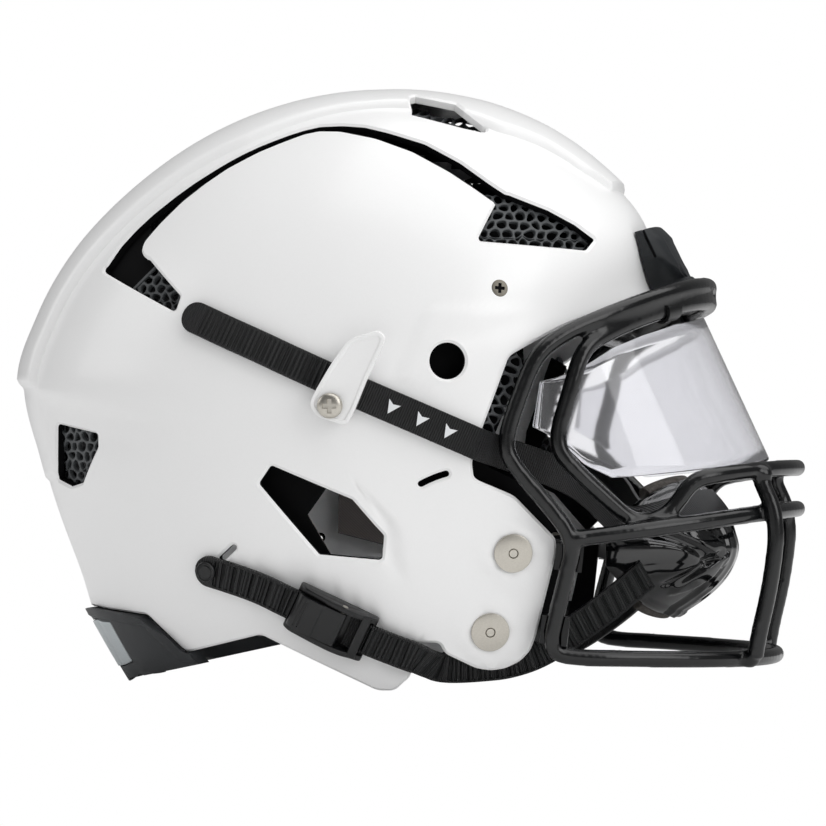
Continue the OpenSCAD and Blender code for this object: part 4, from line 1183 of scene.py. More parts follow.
@dataclass
class FaceGuard:
    """The welded and coated wires that stand before the face, with the clips that hold them."""

    wire: float = 6.8
    # The wires start thicker by this much, because the melting draws them in
    swell: float = 0.5
    grain: float = 0.95
    outer: tuple = (
        (131, -8, 169.6), (129, -27, 168.8), (121.5, -49, 166.2), (108, -69, 160.6), (92.5, -83.5, 153.6),
        (78, -92.5, 146.5), (67.5, -98.5, 138), (61, -101.5, 121), (54.5, -103.5, 100.5), (61, -102, 90),
        (72, -100, 77.5), (83.5, -98, 62.5), (80, -97, 48), (76, -96, 33), (72.5, -95, 16.5), (83, -92, 14),
        (101, -86, 13.5), (132, -67.5, 12.4), (149, -47, 12), (157.5, -25, 11.8), (160, -8, 11.8),
    )
    eye: tuple = (
        (131, -8, 162.7), (129, -27, 161.9), (121, -48.5, 159.4), (107.5, -67, 153.6), (97, -79, 148.3),
        (86, -90, 141.5), (81, -93.6, 123), (74.5, -95, 101.5), (83, -94.4, 91), (97, -88, 77.5),
        (103.5, -84.8, 71.3), (110, -81.5, 69.2), (117, -78.5, 71.2), (122.5, -76, 75.5), (129.5, -73, 86.5),
        (139, -69, 88.8), (156.5, -49, 91), (166, -26, 91.7), (169.1, -8, 91.8),
    )
    mouth: tuple = (
        (85, -96.8, 63), (101, -92.2, 64.9), (118, -84.7, 67.3), (133, -75, 69.4), (148, -60, 71.6),
        (158, -46, 73), (166, -25, 74), (169.1, -8, 74.2),
    )
    upright: tuple = (
        (156.2, -49, 87.2), (159.6, -51.2, 80), (162, -52.2, 74), (163, -52.4, 64), (162.4, -52.4, 56),
        (160, -52, 40), (155.2, -51.3, 20), (154.2, -51, 12.5),
    )
    # Weld metal laid along the seam between the outer loop and the eye loop
    seam: tuple = (
        (131, -8, 166.2), (129, -27, 165.4), (121.2, -48.8, 162.8), (107.8, -68, 157.1), (95.5, -80.6, 151.2),
        (88, -87.2, 147.2),
    )
    seam_radius: float = 3.2
    tab_end: float = 150.5
    # The guard clips stay within this half width, behind the wires
    clip_reach: float = 96.5
    # Weld beads on the right side: place and half sizes
    welds: tuple = (
        ((84.2, -97.2, 62.8), (5.2, 3.9, 3.7)), ((113.5, -83.2, 67.9), (7.4, 3.8, 3.7)),
        ((157.4, -49.6, 89), (4.2, 3.9, 4.4)), ((161.6, -50.6, 73), (3.9, 4.2, 4.6)),
        ((151.8, -48.6, 12), (4.6, 4.0, 3.9)),
    )

    def build(self) -> None:
        """Builds the wires, their welds and the clips."""
        radius = (self.wire + self.swell) / 2
        parts = [tube("guard_outer", bent(both_sides(self.outer), 6, closed=True), radius, closed=True),
                 tube("guard_eye", bent(both_sides(self.eye), 6, closed=True), radius, closed=True),
                 tube("guard_mouth", bent(both_sides(self.mouth), 7), radius)]
        for side in (RIGHT, LEFT):
            turned_round = np.array([1, -side, 1])
            parts.append(tube("guard_post", bent(np.array(self.upright) * turned_round, 7), radius))
            parts += [bead(np.array(place) * turned_round, size) for place, size in self.welds]
        parts.append(tube("guard_seam", bent(both_sides(self.seam), 6), self.seam_radius))
        guard = joined("face_guard", parts)
        modify(guard, "REMESH", mode="VOXEL", voxel_size=self.grain * MM)
        modify(guard, "SMOOTH", factor=0.5, iterations=12)
        smoothed(guard, 80)
        dress(guard, GUARD, nodes=["guard_outer_loop", "guard_eye_loop", "guard_mouth_bar", "guard_upright_right",
                                   "guard_upright_left"])
        for side, name in SIDE_NAMES.items():
            outside = sorted((side * self.clip_reach, side * 200))
            for place in ("upper", "lower"):
                self.trimmed(f"guard_clip_{place}_{name}", oblong(0, 0, 200, 99), *outside)
            self.trimmed(f"visor_clip_{name}", oblong(0, 90, 200, self.tab_end), -200, 200)

    def trimmed(self, node: str, outline: Array, low: float, high: float) -> None:
        """Makes a clip from its CAD mesh, without the part that the photograph doesn't show.

        Args:
            node: The clip's CAD node.
            outline: Side view outline of what is cut off.
            low: The cut's lower end in y.
            high: The cut's upper end in y.
        """
        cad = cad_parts[node]
        clip = linked(f"{node}_trimmed", cad.data.copy())
        clip.data.transform(cad.matrix_world)
        carve(clip, prism("trim", outline, low, high))
        smoothed(clip, 35)
        dress(clip, BLACK_PLASTIC, nodes=[node])


@dataclass
class Visor:
    """The clear sheet that hangs from the eye loop."""

    thickness: float = 2.4
    half: float = 86.0
    back: Pair = (62.0, 66.0)
    tip: Pair = (156.0, 128.0)
    square: float = 2.3
    low: tuple = ((0, 95.5), (45, 91), (71, 87.5), (78, 93), (83, 102), (88.5, 108), (90, 110))
    top: tuple = ((0, 156), (32, 151.5), (50, 146.5), (63, 141.5), (73, 134.5), (84, 129), (90, 127))

    def point(self, w: Array, u: Array) -> Array:
        """Gives points of the sheet at wrap angle w, u of the way from its lower to its upper edge.

        Args:
            w: Degrees round from the front.
            u: Shares of the height.

        Returns:
            The points.
        """
        power = 2 / self.square
        z = np.interp(np.abs(w), *zip(*self.low)) * (1 - u) + np.interp(np.abs(w), *zip(*self.top)) * u
        back = self.back[0] * (1 - u) + self.back[1] * u
        tip = self.tip[0] * (1 - u) + self.tip[1] * u
        c, s = np.maximum(np.cos(np.radians(w)), 0) ** power, np.abs(np.sin(np.radians(w))) ** power
        x = back + (tip - back) * c
        return np.stack(np.broadcast_arrays(x, np.sign(w) * self.half * s, z), -1)

    def build(self) -> None:
        """Builds the sheet with its polished edges."""
        w = np.linspace(-89, 89, 121)[None, :]
        u = np.linspace(0, 1, 13)[:, None]
        middle = self.point(w, u)
        across = self.point(np.minimum(w + 1, 89), u) - self.point(np.maximum(w - 1, -89), u)
        up = self.point(w, np.minimum(u + 0.02, 1)) - self.point(w, np.maximum(u - 0.02, 0))
        out = np.cross(across, up)
        out /= np.linalg.norm(out, axis=-1, keepdims=True)
        half = self.thickness / 2
        sheet = slab("visor_sheet", middle + half * out, middle - half * out)
        bevelled(sheet, 0.5, 2, 50)
        smoothed(sheet, 40)
        dress(sheet, VISOR_CLEAR, nodes=["visor"])


@dataclass(frozen=True)
class Band:
    """One flat strap: its route, the points that its face looks away from, its ribs and its ends."""

    name: str
    route: Array
    behind: Array
    node: str
    rib: float
    pitch: float
    round_start: bool = False
    ribs_to: float = 1.0


@dataclass
class Straps:
    """The straps of both sides with their printed arrowheads and the rivets at the rear."""

    width: float = 12.8
    thickness: float = 2.2
    lift: float = 0.78
    inward: float = -60.0
    head: Triple = (20.0, 0.0, 105.0)
    jaw: Triple = (44.0, 0.0, 26.0)
    buckle_lift: float = 3.3
    ribs_from: float = 9.0
    rivet: Pair = (-66.5, 49.8)
    rivet_size: Pair = (8.6, 1.4)
    upper_on: tuple = (
        (-76, 155), (-70, 152.6), (-58, 147.2), (-43.5, 141), (-30, 134.8), (-16, 128.6), (-1, 121.7),
        (11, 116.4), (22, 111.6), (32, 107.1), (39, 104),
    )
    upper_free: tuple = (
        (46.2, -108.2, 100.8), (50.2, -100.6, 99.2), (55, -96.6, 97.4), (63, -91, 94.6), (71, -85.5, 91.4),
        (81, -75.5, 86.6), (88, -62.5, 80.4), (93, -49, 73.6), (97.5, -42, 69), (104, -39.6, 68),
    )
    ladder_on: tuple = ((-71.5, 51.2), (-66.5, 49.8), (-58, 47.4), (-49.3, 44.6), (-43, 42.2))
    ladder_in: tuple = (-21, -16, -6, -1)
    lower_in: tuple = (7, 15, 19)
    lower_free: tuple = (
        (10, -105, 17.2), (18.5, -103.2, 14), (23, -97.4, 11.4), (27, -91.4, 9.8), (34, -88.4, 9.5),
        (44, -85.6, 10.1), (54, -81.4, 11), (66, -76.2, 14.9), (78, -71, 22.6), (90, -60.5, 31.4),
        (98.5, -47.5, 38.6), (103.5, -39, 43.6), (107.5, -36, 47),
    )
    # Places of the printed arrowheads along the right upper strap, as x, and their turn in the wall
    arrows: tuple = (11.2, 22.5, 33.4)
    arrow_turn: float = -24.0
    arrow: tuple = ((-2.9, 2.7), (-0.6, 1.2), (2.6, 1.8), (-1.2, -3.2))

    def in_buckle(self, x: float, h: float) -> Array:
        """Gives the point x along the buckle's strap and h out of the wall."""
        place = FORM.wall_frame(*BUCKLE_PLACE, d=h, turn=BUCKLE_TURN)
        return np.array(place @ Vector((x * MM, 0, 0))) / MM

    def on_wall(self, points: Sequence[Point], d: float) -> list:
        """Gives the points of the right wall, moved d out."""
        return [FORM.wall_point(x, z, RIGHT, d) for x, z in points]

    def ribbon(self, band: Band) -> Piece:
        """Makes the strap of a band, with its ribs and its weave's UV map.

        Args:
            band: Its route, ribs and ends.

        Returns:
            The strap of the right side.
        """
        rough = bent(band.route, 12)
        steps = np.concatenate([[0], np.cumsum(np.linalg.norm(np.diff(rough, axis=0), axis=1))])
        count = int(steps[-1] / (band.pitch / 4))
        s = np.linspace(0, steps[-1], count)
        route = np.stack([np.interp(s, steps, rough[:, k]) for k in range(3)], -1)
        knots = np.linspace(0, steps[-1], len(band.behind))
        behind = np.stack([np.interp(s, knots, band.behind[:, k]) for k in range(3)], -1)
        along = np.gradient(route, axis=0)
        along /= np.linalg.norm(along, axis=1, keepdims=True)
        out = route - behind
        out -= np.sum(out * along, 1, keepdims=True) * along
        out /= np.linalg.norm(out, axis=1, keepdims=True)
        across = np.cross(along, out)
        half, thick = self.width / 2, self.thickness / 2
        wide = np.full(count, half)
        if band.round_start:
            wide = np.minimum(wide, np.sqrt(np.maximum(half ** 2 - np.maximum(half - s - 0.1, 0) ** 2, 0.04)))
        wave = np.where(np.sin(2 * np.pi * s / band.pitch) > 0, 0.0, -band.rib)
        wave = np.where((s > self.ribs_from) & (s < s[-1] * band.ribs_to), wave, 0.0)
        section = [(1, -1), (1, -0.86), (1, -0.8), (1, 0.8), (1, 0.86), (1, 1), (0.4, 1.03), (-0.4, 1.03), (-1, 1),
                   (-1, -1), (-0.4, -1.03), (0.4, -1.03)]
        ribbed = {2, 3}
        points, flat = [], []
        for i in range(count):
            for k, (o, a) in enumerate(section):
                lift = thick * o + (wave[i] if k in ribbed else 0)
                points.append(route[i] + out[i] * lift + across[i] * wide[i] * a)
                flat.append((s[i] * MM, wide[i] * a * MM))
        n = len(section)
        faces = [[i * n + k, (i + 1) * n + k, (i + 1) * n + (k + 1) % n, i * n + (k + 1) % n]
                 for i in range(count - 1) for k in range(n)]
        faces += [list(range(n)), [(count - 1) * n + k for k in range(n - 1, -1, -1)]]
        obj = new_object(band.name, np.array(points), faces)
        weave = obj.data.uv_layers.new(name="weave")
        for loop in obj.data.loops:
            weave.data[loop.index].uv = flat[loop.vertex_index]
        return smoothed(outward(obj, merge=False), 30)

    def bands(self) -> list[Band]:
        """Gives the three straps of the right side.

        Returns:
            The upper, the ladder and the lower strap.
        """
        lift = self.lift + self.thickness / 2
        upper = [*self.on_wall(self.upper_on, lift), *map(np.array, self.upper_free)]
        upper_behind = [*self.on_wall(self.upper_on, self.inward), *[np.array(self.head)] * len(self.upper_free)]
        ladder = [*self.on_wall(self.ladder_on, lift),
                  *[self.in_buckle(x, self.buckle_lift) for x in self.ladder_in]]
        ladder_behind = [*self.on_wall(self.ladder_on, self.inward),
                         *[self.in_buckle(x, self.inward) for x in self.ladder_in]]
        lower = [*[self.in_buckle(x, self.buckle_lift) for x in self.lower_in], *map(np.array, self.lower_free)]
        lower_behind = [*[self.in_buckle(x, self.inward) for x in self.lower_in],
                        *[np.array(self.jaw)] * len(self.lower_free)]
        return [
            Band("strap_upper", np.array(upper), np.array(upper_behind), "upper_strap", 0.3, 2.2,
                 round_start=True, ribs_to=0.36),
            Band("strap_ladder", np.array(ladder), np.array(ladder_behind), "ladder_strap", 0.7, 2.6,
                 round_start=True),
            Band("strap_lower", np.array(lower), np.array(lower_behind), "lower_strap", 0.5, 2.4),
        ]

    def arrowhead(self, x: float) -> Piece:
        """Makes one printed arrowhead on the right upper strap.

        Args:
            x: Its place forward.

        Returns:
            The arrowhead.
        """
        z = float(np.interp(x, *zip(*self.upper_on)))
        place = FORM.wall_frame(x, z, self.lift + self.thickness + 0.02, turn=self.arrow_turn)
        return plate("arrow", self.arrow, 0, 0.08, place)

    def build(self) -> None:
        """Builds the straps, the arrowheads and the rivets."""
        for band in self.bands():
            right = self.ribbon(band)
            right.name = f"{band.name}_right"
            left = mirrored(right, f"{band.name}_left")
            dress(right, WEBBING, nodes=[f"{band.node}_right"])
            dress(left, WEBBING, nodes=[f"{band.node}_left"])
        arrows = [self.arrowhead(x) for x in self.arrows]
        arrows += [mirrored(arrow, "arrow") for arrow in arrows[:]]
        dress(joined("strap_arrows", arrows), INK)
        diameter, height = self.rivet_size
        r = diameter / 2
        low = self.lift + self.thickness + 0.3
        top = low + height
        head = turned("strap_rivet", (
            (0, top), (r * 0.62, top), (r * 0.7, top - 0.35), (r * 0.8, top - 0.35), (r * 0.86, top),
            (r * 0.95, top - 0.1), (r, top - 0.5), (r, low), (r * 0.44, low), (r * 0.44, -4.6), (0, -4.6),
        ))
        head.data.transform(FORM.wall_frame(*self.rivet))
        dress(joined("rivets", [head, mirrored(head, "rivet_left")]), BLACK_PLASTIC, nodes=["strap_rivets"])


def turned(name: str, profile: Sequence[Point], steps: int = 56) -> Piece:
    """Makes a turned piece about the z axis by spinning a profile of radius and height.

    Args:
        name: The piece's name.
        profile: Its points, from the axis round its outside and back to the axis or to its start.
        steps: Pieces round the axis.

    Returns:
        The closed piece at the origin.
    """
    mesh = bpy.data.meshes.new(name)
    mesh.from_pydata([(r * MM, 0, z * MM) for r, z in profile], [(i, i + 1) for i in range(len(profile) - 1)], [])
    obj = linked(name, mesh)
    pick(obj)
    bpy.ops.object.mode_set(mode="EDIT")
    bpy.ops.mesh.select_all(action="SELECT")
    bpy.ops.mesh.spin(steps=steps, angle=2 * math.pi, center=(0, 0, 0), axis=(0, 0, 1))
    bpy.ops.mesh.select_all(action="SELECT")
    bpy.ops.mesh.remove_doubles(threshold=1e-6)
    bpy.ops.mesh.normals_make_consistent(inside=False)
    bpy.ops.object.mode_set(mode="OBJECT")
    return smoothed(obj, 28)


def plate(name: str, outline: Sequence[Point], low: float, high: float, place: Matrix | None = None,
          ) -> Piece:
    """Makes a flat plate.

    Args:
        name: The piece's name.
        outline: Its corners in x and y.
        low: Its underside in z.
        high: Its top in z.
        place: Where it goes, or None for the origin.

    Returns:
        The plate.
    """
    count = len(outline)
    points = [(p[0], p[1], z) for z in (low, high) for p in outline]
    faces = [list(range(count - 1, -1, -1)), list(range(count, 2 * count))]
    faces += [[i, (i + 1) % count, count + (i + 1) % count, count + i] for i in range(count)]
    obj = outward(new_object(name, np.array(points), faces))
    if place is not None:
        obj.data.transform(place)
    return obj


def sunk_top(obj: Piece, border: float, depth: float) -> Piece:
    """Sinks the highest flat face of a piece inside a raised border.

    Args:
        obj: The piece.
        border: Width of the border.
        depth: Depth of the sunk face.

    Returns:
        The same piece.
    """
    pick(obj)
    bpy.ops.object.mode_set(mode="EDIT")
    bm = bmesh.from_edit_mesh(obj.data)
    bpy.ops.mesh.select_all(action="DESELECT")
    bm.faces.ensure_lookup_table()
    top = max(bm.faces, key=lambda f: f.calc_center_median().z if f.normal.z > 0.9 else -1)
    top.select_set(True)
    bmesh.update_edit_mesh(obj.data)
    bpy.ops.mesh.inset(thickness=border * MM, depth=0)
    bpy.ops.mesh.inset(thickness=0.35 * MM, depth=-depth * MM)
    bpy.ops.object.mode_set(mode="OBJECT")
    return obj


def carve(obj: Piece, cutter: Piece) -> Piece:
    """Cuts one solid out of another and removes the cutter.

    Args:
        obj: The piece.
        cutter: The solid that goes.

    Returns:
        The same piece.
    """
    modify(obj, "BOOLEAN", operation="DIFFERENCE", object=cutter, solver="EXACT")
    bpy.data.objects.remove(cutter)
    return obj


@dataclass
class Hardware:
    """The nickel quick release caps and pins, the screws, the cam levers, and the nickel of the tee nuts and the
    ratchet buckles' hinge pins.
    """

    cap_diameter: float = 15.9
    cap_height: float = 1.2
    gap: float = 0.3
    stem: float = 8.75
    stem_length: float = 9.1
    pin_diameter: float = 3.6
    pin_travel: float = 2.0
    pan_head: float = 10.4
    flat_head: float = 7.2
    # Height at which the screws' shanks end, inside the shell
    screw_end: float = -6.8
    lever_bore: float = 4.3
    lever_height: float = 4.4
    lever_lift: float = 3.28
    pivot: Pair = (-13.4, 117.7)
    flat: Pair = (53.0, 165.2)
    lever: tuple = (
        (-8.6, 0.4), (-6.1, 5.7), (0.8, 17.1), (8.1, 26.9), (20, 30.2), (22.8, 27.7), (22, 24.4), (15.1, 10.2),
        (9.8, -2.4), (6.9, -7.3), (4.5, -7.7), (-5.3, -4.5),
    )

    def cap(self) -> Piece:
        """Makes one quick release cap about its own axis.

        Returns:
            The cap.
        """
        r, low, top = self.cap_diameter / 2, self.gap, self.gap + self.cap_height
        bore = self.pin_diameter / 2 + 0.18
        profile = ((bore, top - 0.25), (bore + 0.15, top), (r - 0.45, top), (r - 0.15, top - 0.12), (r, top - 0.4),
                   (r, low + 0.1), (r - 0.1, low), (self.stem / 2, low), (self.stem / 2, -self.stem_length),
                   (bore, -self.stem_length), (bore, top - 0.25))
        return turned("cap", profile, 72)

    def pin(self) -> Piece:
        """Makes one push pin about its own axis.

        Returns:
            The pin.
        """
        r, top = self.pin_diameter / 2, self.gap + self.cap_height - 0.1
        low = self.pin_travel + 0.4 - self.stem_length
        profile = ((0, top - 0.05), (r * 0.6, top), (r - 0.2, top - 0.02), (r, top - 0.25), (r, low), (0, low))
        return turned("pin", profile, 40)

    def cross(self, size: float, depth: float, top: float) -> Piece:
        """Makes the solid of a cross recess that opens upwards at the height top.

        Args:
            size: Length of its arms, tip to tip.
            depth: Depth of the recess.
            top: Height at which it opens.

        Returns:
            The solid to cut with.
        """
        arm = size * 0.16
        half = size / 2
        outline = ((half, -arm), (half, arm), (arm, arm), (arm, half), (-arm, half), (-arm, arm), (-half, arm),
                   (-half, -arm), (-arm, -arm), (-arm, -half), (arm, -half), (arm, -arm))
        return plate("cross", outline, top - depth, top + 2)

    def pan_screw(self) -> Piece:
        """Makes one pan screw: a dome with a cross recess, its shoulder and its shank.

        Returns:
            The screw.
        """
        r = self.pan_head / 2
        low = self.lever_lift + self.lever_height + 0.15
        dome = [(r * math.sin(t), low + 0.7 + 2.2 * math.cos(t)) for t in np.linspace(0, math.pi / 2, 9)]
        profile = (*dome, (r, low + 0.25), (r - 0.25, low), (2.1, low), (2.1, 0.02), (1.47, 0.02),
                   (1.47, self.screw_end), (0, self.screw_end))
        screw = turned("pan_screw", profile, 64)
        carve(screw, self.cross(self.pan_head * 0.56, 1.5, low + 2.9))
        return smoothed(screw, 28)

    def flat_screw(self) -> Piece:
        """Makes one countersunk screw with a cross recess, flush with the shell.

        Returns:
            The screw.
        """
        r = self.flat_head / 2
        profile = ((0, 0.12), (r - 0.5, 0.1), (r - 0.15, 0.0), (r, -0.25), (r, -1.2), (1.8, -1.2),
                   (1.8, self.screw_end), (0, self.screw_end))
        screw = turned("flat_screw", profile, 56)
        carve(screw, self.cross(self.flat_head * 0.6, 1.0, 0.12))
        return smoothed(screw, 28)

    def cam_lever(self) -> Piece:
        """Makes one cam lever: a white wedge plate with a sunk face and a hole for its shoulder.

        Returns:
            The lever.
        """
        body = plate("cam_lever", rounded(self.lever, 3.2, 6), 0, self.lever_height)
        sunk_top(body, 1.5, 0.55)
        bpy.ops.mesh.primitive_cylinder_add(vertices=40, radius=self.lever_bore / 2 * MM, depth=30 * MM)
        carve(body, bpy.context.active_object)
        bevelled(body, 0.45, 3, 40)
        return smoothed(body, 35)

    def pair(self, obj: Piece, place: Matrix) -> tuple[Piece, Piece]:
        """Puts a piece in its place on the right and a mirrored copy of it on the left."""
        obj.data.transform(place)
        return obj, mirrored(obj, f"{obj.name}_left")

    def build(self) -> None:
        """Builds and dresses all the hardware."""
        caps = []
        for level, place in CAP_PLACES:
            spot = FORM.wall_frame(*place)
            caps += self.pair(self.cap(), spot)
            for pin, side in zip(self.pair(self.pin(), spot), SIDE_NAMES.values()):
                pin.name = f"pin_{level}_{side}"
                dress(pin, NICKEL, f"release_pin_{level}_{side}", [f"release_pin_{level}_{side}"])
        dress(joined("caps", caps), NICKEL, nodes=["release_caps"])
        pivot = FORM.wall_frame(*self.pivot)
        dress(joined("screws_pan", self.pair(self.pan_screw(), pivot)), NICKEL, nodes=["pan_screws"])
        flat = FORM.wall_frame(*self.flat)
        dress(joined("screws_flat", self.pair(self.flat_screw(), flat)), DULL_PLATE, nodes=["flat_screws"])
        # A dark cross plate just under the flat screws' tops: painted shade standing for the dark of their cross
        # recesses
        shade = self.cross(self.flat_head * 0.58, 1.0, 0.07)
        carve(shade, plate("trim", oblong(-9, -9, 9, 9), 0.07, 9))
        dress(joined("recess_shade", self.pair(shade, flat)), LINING_AND_SHADE)
        levers = self.pair(self.cam_lever(), FORM.wall_frame(*self.pivot, d=self.lever_lift))
        for lever, side in zip(levers, SIDE_NAMES.values()):
            lever.name = f"lever_{side}"
            dress(lever, SHELL_WHITE, f"cam_lever_{side}", [f"cam_lever_{side}"])
        for node in ("tee_nuts", "ratchet_hinge_pins"):
            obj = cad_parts[node]
            obj.data.materials.clear()
            obj.data.materials.append(NICKEL.material())


@dataclass
class Ratchet:
    """The two-part buckle that takes in the ladder strap."""

    gap: float = 0.3
    width: float = 20.0
    wall: float = 2.4
    rail: tuple = ((-17.5, 0), (-17.5, 3.4), (-14.5, 6.6), (-4, 8.4), (4, 9), (9, 8.2), (13.5, 5.6), (17.5, 4.2),
                   (17.5, 0))
    floor: tuple = ((-17.5, 0), (-17.5, 1.6), (17.5, 1.6), (17.5, 0))
    bar: tuple = ((10.6, 5.1), (11.2, 7.0), (14.6, 6.2), (15.2, 4.9))
    cover: tuple = ((-16.5, 4.9), (-16.6, 6.6), (-15, 9.0), (-11, 10.2), (-5.5, 10.0), (-4.9, 9.3), (1, 9.5),
                    (4.4, 9.1), (5.3, 7.6), (4.6, 5.2), (1.2, 4.6), (-3, 5.0))
    hinge: Pair = (3.0, 6.6)
    hinge_diameter: float = 2.5
    # Places of the finger grooves along the lever
    grooves: Pair = (-13.6, -11.8)

    def bore(self) -> Piece:
        """Makes the solid of the hinge's bore.

        Returns:
            The solid to cut with.
        """
        deselect()
        bpy.ops.mesh.primitive_cylinder_add(vertices=32, radius=self.hinge_diameter / 2 * MM, depth=40 * MM,
                                            location=(self.hinge[0] * MM, 0, self.hinge[1] * MM),
                                            rotation=(math.pi / 2, 0, 0))
        bpy.ops.object.transform_apply()
        return bpy.context.active_object

    def base(self) -> Piece:
        """Makes the base: a floor, two rails and the cross bar that holds the strap down.

        Returns:
            The base at the origin.
        """
        half = self.width / 2
        rails = [prism("rail", rounded(self.rail, 2.2), low, low + self.wall) for low in (-half, half - self.wall)]
        parts = [carve(r, self.bore()) for r in rails]
        parts.append(prism("floor", np.array(self.floor), -half + 0.4, half - 0.4))
        parts.append(prism("bar", rounded(self.bar, 0.8), -half + 0.6, half - 0.6))
        parts = [bevelled(p, 0.5, 2, 35) for p in parts]
        return smoothed(joined("ratchet_base", parts), 35)

    def lever(self) -> Piece:
        """Makes the lever: a humped cover with a finger edge and two grooves.

        Returns:
            The lever at the origin.
        """
        half = self.width / 2 - self.wall - self.gap
        body = prism("ratchet_lever", rounded(self.cover, 1.6), -half, half)
        carve(body, self.bore())
        for x in self.grooves:
            groove = prism("groove", np.array(((x - 0.3, 9.2), (x - 0.3, 12), (x + 0.3, 12), (x + 0.3, 9.2))),
                           -half + 1.6, half - 1.6)
            carve(body, groove)
        bevelled(body, 0.45, 2, 40)
        return smoothed(body, 35)

    def build(self) -> None:
        """Builds the buckle on both sides."""
        spot = FORM.wall_frame(*BUCKLE_PLACE, d=self.gap, turn=BUCKLE_TURN)
        for make, node in ((self.base, "ratchet_base"), (self.lever, "ratchet_lever")):
            right = make()
            right.data.transform(spot)
            for piece, side in ((right, "right"), (mirrored(right, f"{node}_copy"), "left")):
                piece.name = f"buckle_{node.split('_')[1]}_{side}"
                body = "helmet" if node == "ratchet_base" else f"{node}_{side}"
                dress(piece, BLACK_PLASTIC, body, [f"{node}_{side}"])


@dataclass
class Bumpers:
    """The brow plate, the nape bumper with its grey insert, and the lip that holds it."""

    brow_rays: Pair = (18.6, 30.4)
    brow_thin: float = 6.5
    brow_deep: float = 18.3
    brow_gap: float = 0.72
    brow_depth: tuple = ((0, 1), (0.45, 0.78), (0.86, 0.3), (1, 0))
    # Slot in each side of the brow plate, as a line in x and z
    brow_slot: tuple = ((105.2, 193.6), (110.9, 181.0))
    brow_slot_width: float = 1.2
    brow_slot_from: float = 26.0
    # Half width of the plate along its rays
    brow_half: tuple = ((18.6, 17), (21, 18.5), (24.4, 24.5), (26.1, 28.5), (30.4, 33))
    nape_top: tuple = ((0, 216.8), (20, 218.4), (35, 223.8), (42, 229), (49, 239.5), (50, 242))
    nape_low: tuple = ((0, 228), (29, 233), (39, 238), (50, 245.5))
    nape_proud: float = 2.4
    nape_tuck: float = 7.0
    nape_thick: float = 6.0
    # Gap between the bumper and the shell's edge
    nape_gap: float = 0.35
    lip: tuple = ((-0.5, -0.9), (0.1, -0.9), (0.16, 1), (0.5, 0))
    lip_thick: float = 3.0
    # Below this line of the side view, and below this height, the bumper and the lip are cut off
    under: tuple = ((-114, 1.6), (-44, 16.7), (-20, 21.9), (-20, -50), (-114, -50))
    floor: float = 0.2
    insert_turns: float = 29.0
    insert_share: Pair = (0.18, 0.82)
    insert_thick: float = 1.6
    # Steps across the insert: share of its half width and height
    insert_steps: tuple = ((0, 0.5), (0.72, 0.5), (0.735, 0.1), (0.765, 0.1), (0.78, 0.38), (0.88, 0.38), (0.895, 0.0),
                           (1, 0.0))

    def brow_plate(self) -> Piece:
        """Makes the plate over the brow with its side ribs and slots.

        Returns:
            The plate.
        """
        a = np.linspace(*self.brow_rays, 33)[:, None]
        s = np.linspace(-1, 1, 61)[None, :]
        b = FORM.turn_at(a, s * np.interp(a, *zip(*self.brow_half)))
        share = (a - self.brow_rays[0]) / (self.brow_rays[1] - self.brow_rays[0])
        deep = self.brow_thin + (self.brow_deep - self.brow_thin) * np.interp(share, *zip(*self.brow_depth))
        deep = deep * (1 - 0.5 * np.abs(s) ** 9)
        # The low part steps back towards the sides, where a rib stands on it
        low = ramp(a, 24.6, 23.6)
        deep = deep - 1.7 * low * ramp(np.abs(s), 0.6, 0.66) + 1.5 * low * np.exp(-((np.abs(s) - 0.8) / 0.07) ** 2)
        # The middle panel is shallower
        deep = deep - 0.5 * ramp(np.abs(s), 0.72, 0.68) * ramp(a, 28.9, 28.4) * ramp(a, 20.4, 20.8)
        plate_piece = slab("brow_plate", FORM.over(a, b, deep), FORM.over(a, b, self.brow_gap + 0 * deep))
        bevelled(plate_piece, 1.1, 3, 50)
        (x0, z0), (x1, z1) = self.brow_slot
        along = np.array([x1 - x0, z1 - z0]) / math.hypot(x1 - x0, z1 - z0)
        side = np.array([along[1], -along[0]]) * self.brow_slot_width / 2
        ends = (np.array([x0, z0]), np.array([x1, z1]))
        outline = np.array([ends[0] + side, ends[1] + side, ends[1] - side, ends[0] - side])
        for low_y, high_y in ((-50, -self.brow_slot_from), (self.brow_slot_from, 50)):
            carve(plate_piece, prism("slot", outline, low_y, high_y))
        return smoothed(plate_piece, 35)

    def ray(self, b: Array, u: Array) -> Array:
        """Gives the ray of the bumper at turn b, u of the way from its top edge to its low edge."""
        return np.interp(np.abs(b), *zip(*self.nape_top)) * (1 - u) + np.interp(np.abs(b), *zip(*self.nape_low)) * u

    def proud(self, b: Array, u: Array) -> Array:
        """Gives how far the bumper stands out of the shell's surface."""
        return self.nape_proud - self.nape_tuck * u * (1 - b * b / 2500)

    def layer(self, name: str, turns: Array, shares: Array, high: Array, low: Array,
              ) -> Piece:
        """Makes a solid over the bumper's turns and shares between two heights above its face.

        Args:
            name: The piece's name.
            turns: Turns from the middle plane.
            shares: Shares of the height.
            high: Its top over the bumper's face.
            low: Its underside.

        Returns:
            The solid.
        """
        b, u = np.meshgrid(turns, shares)
        rays, out = self.ray(b, u), self.proud(b, u)
        return slab(name, FORM.over(rays, b, out + high), FORM.over(rays, b, out + low))

    def trim_under(self, piece: Piece) -> None:
        """Cuts off what a piece has under the floor and under the slanting line of the side view.

        Args:
            piece: The piece.
        """
        for name, outline in (("floor_side", oblong(-300, -50, 100, self.floor)),
                              ("under_side", np.array(self.under))):
            carve(piece, prism(name, outline, -140, 140))

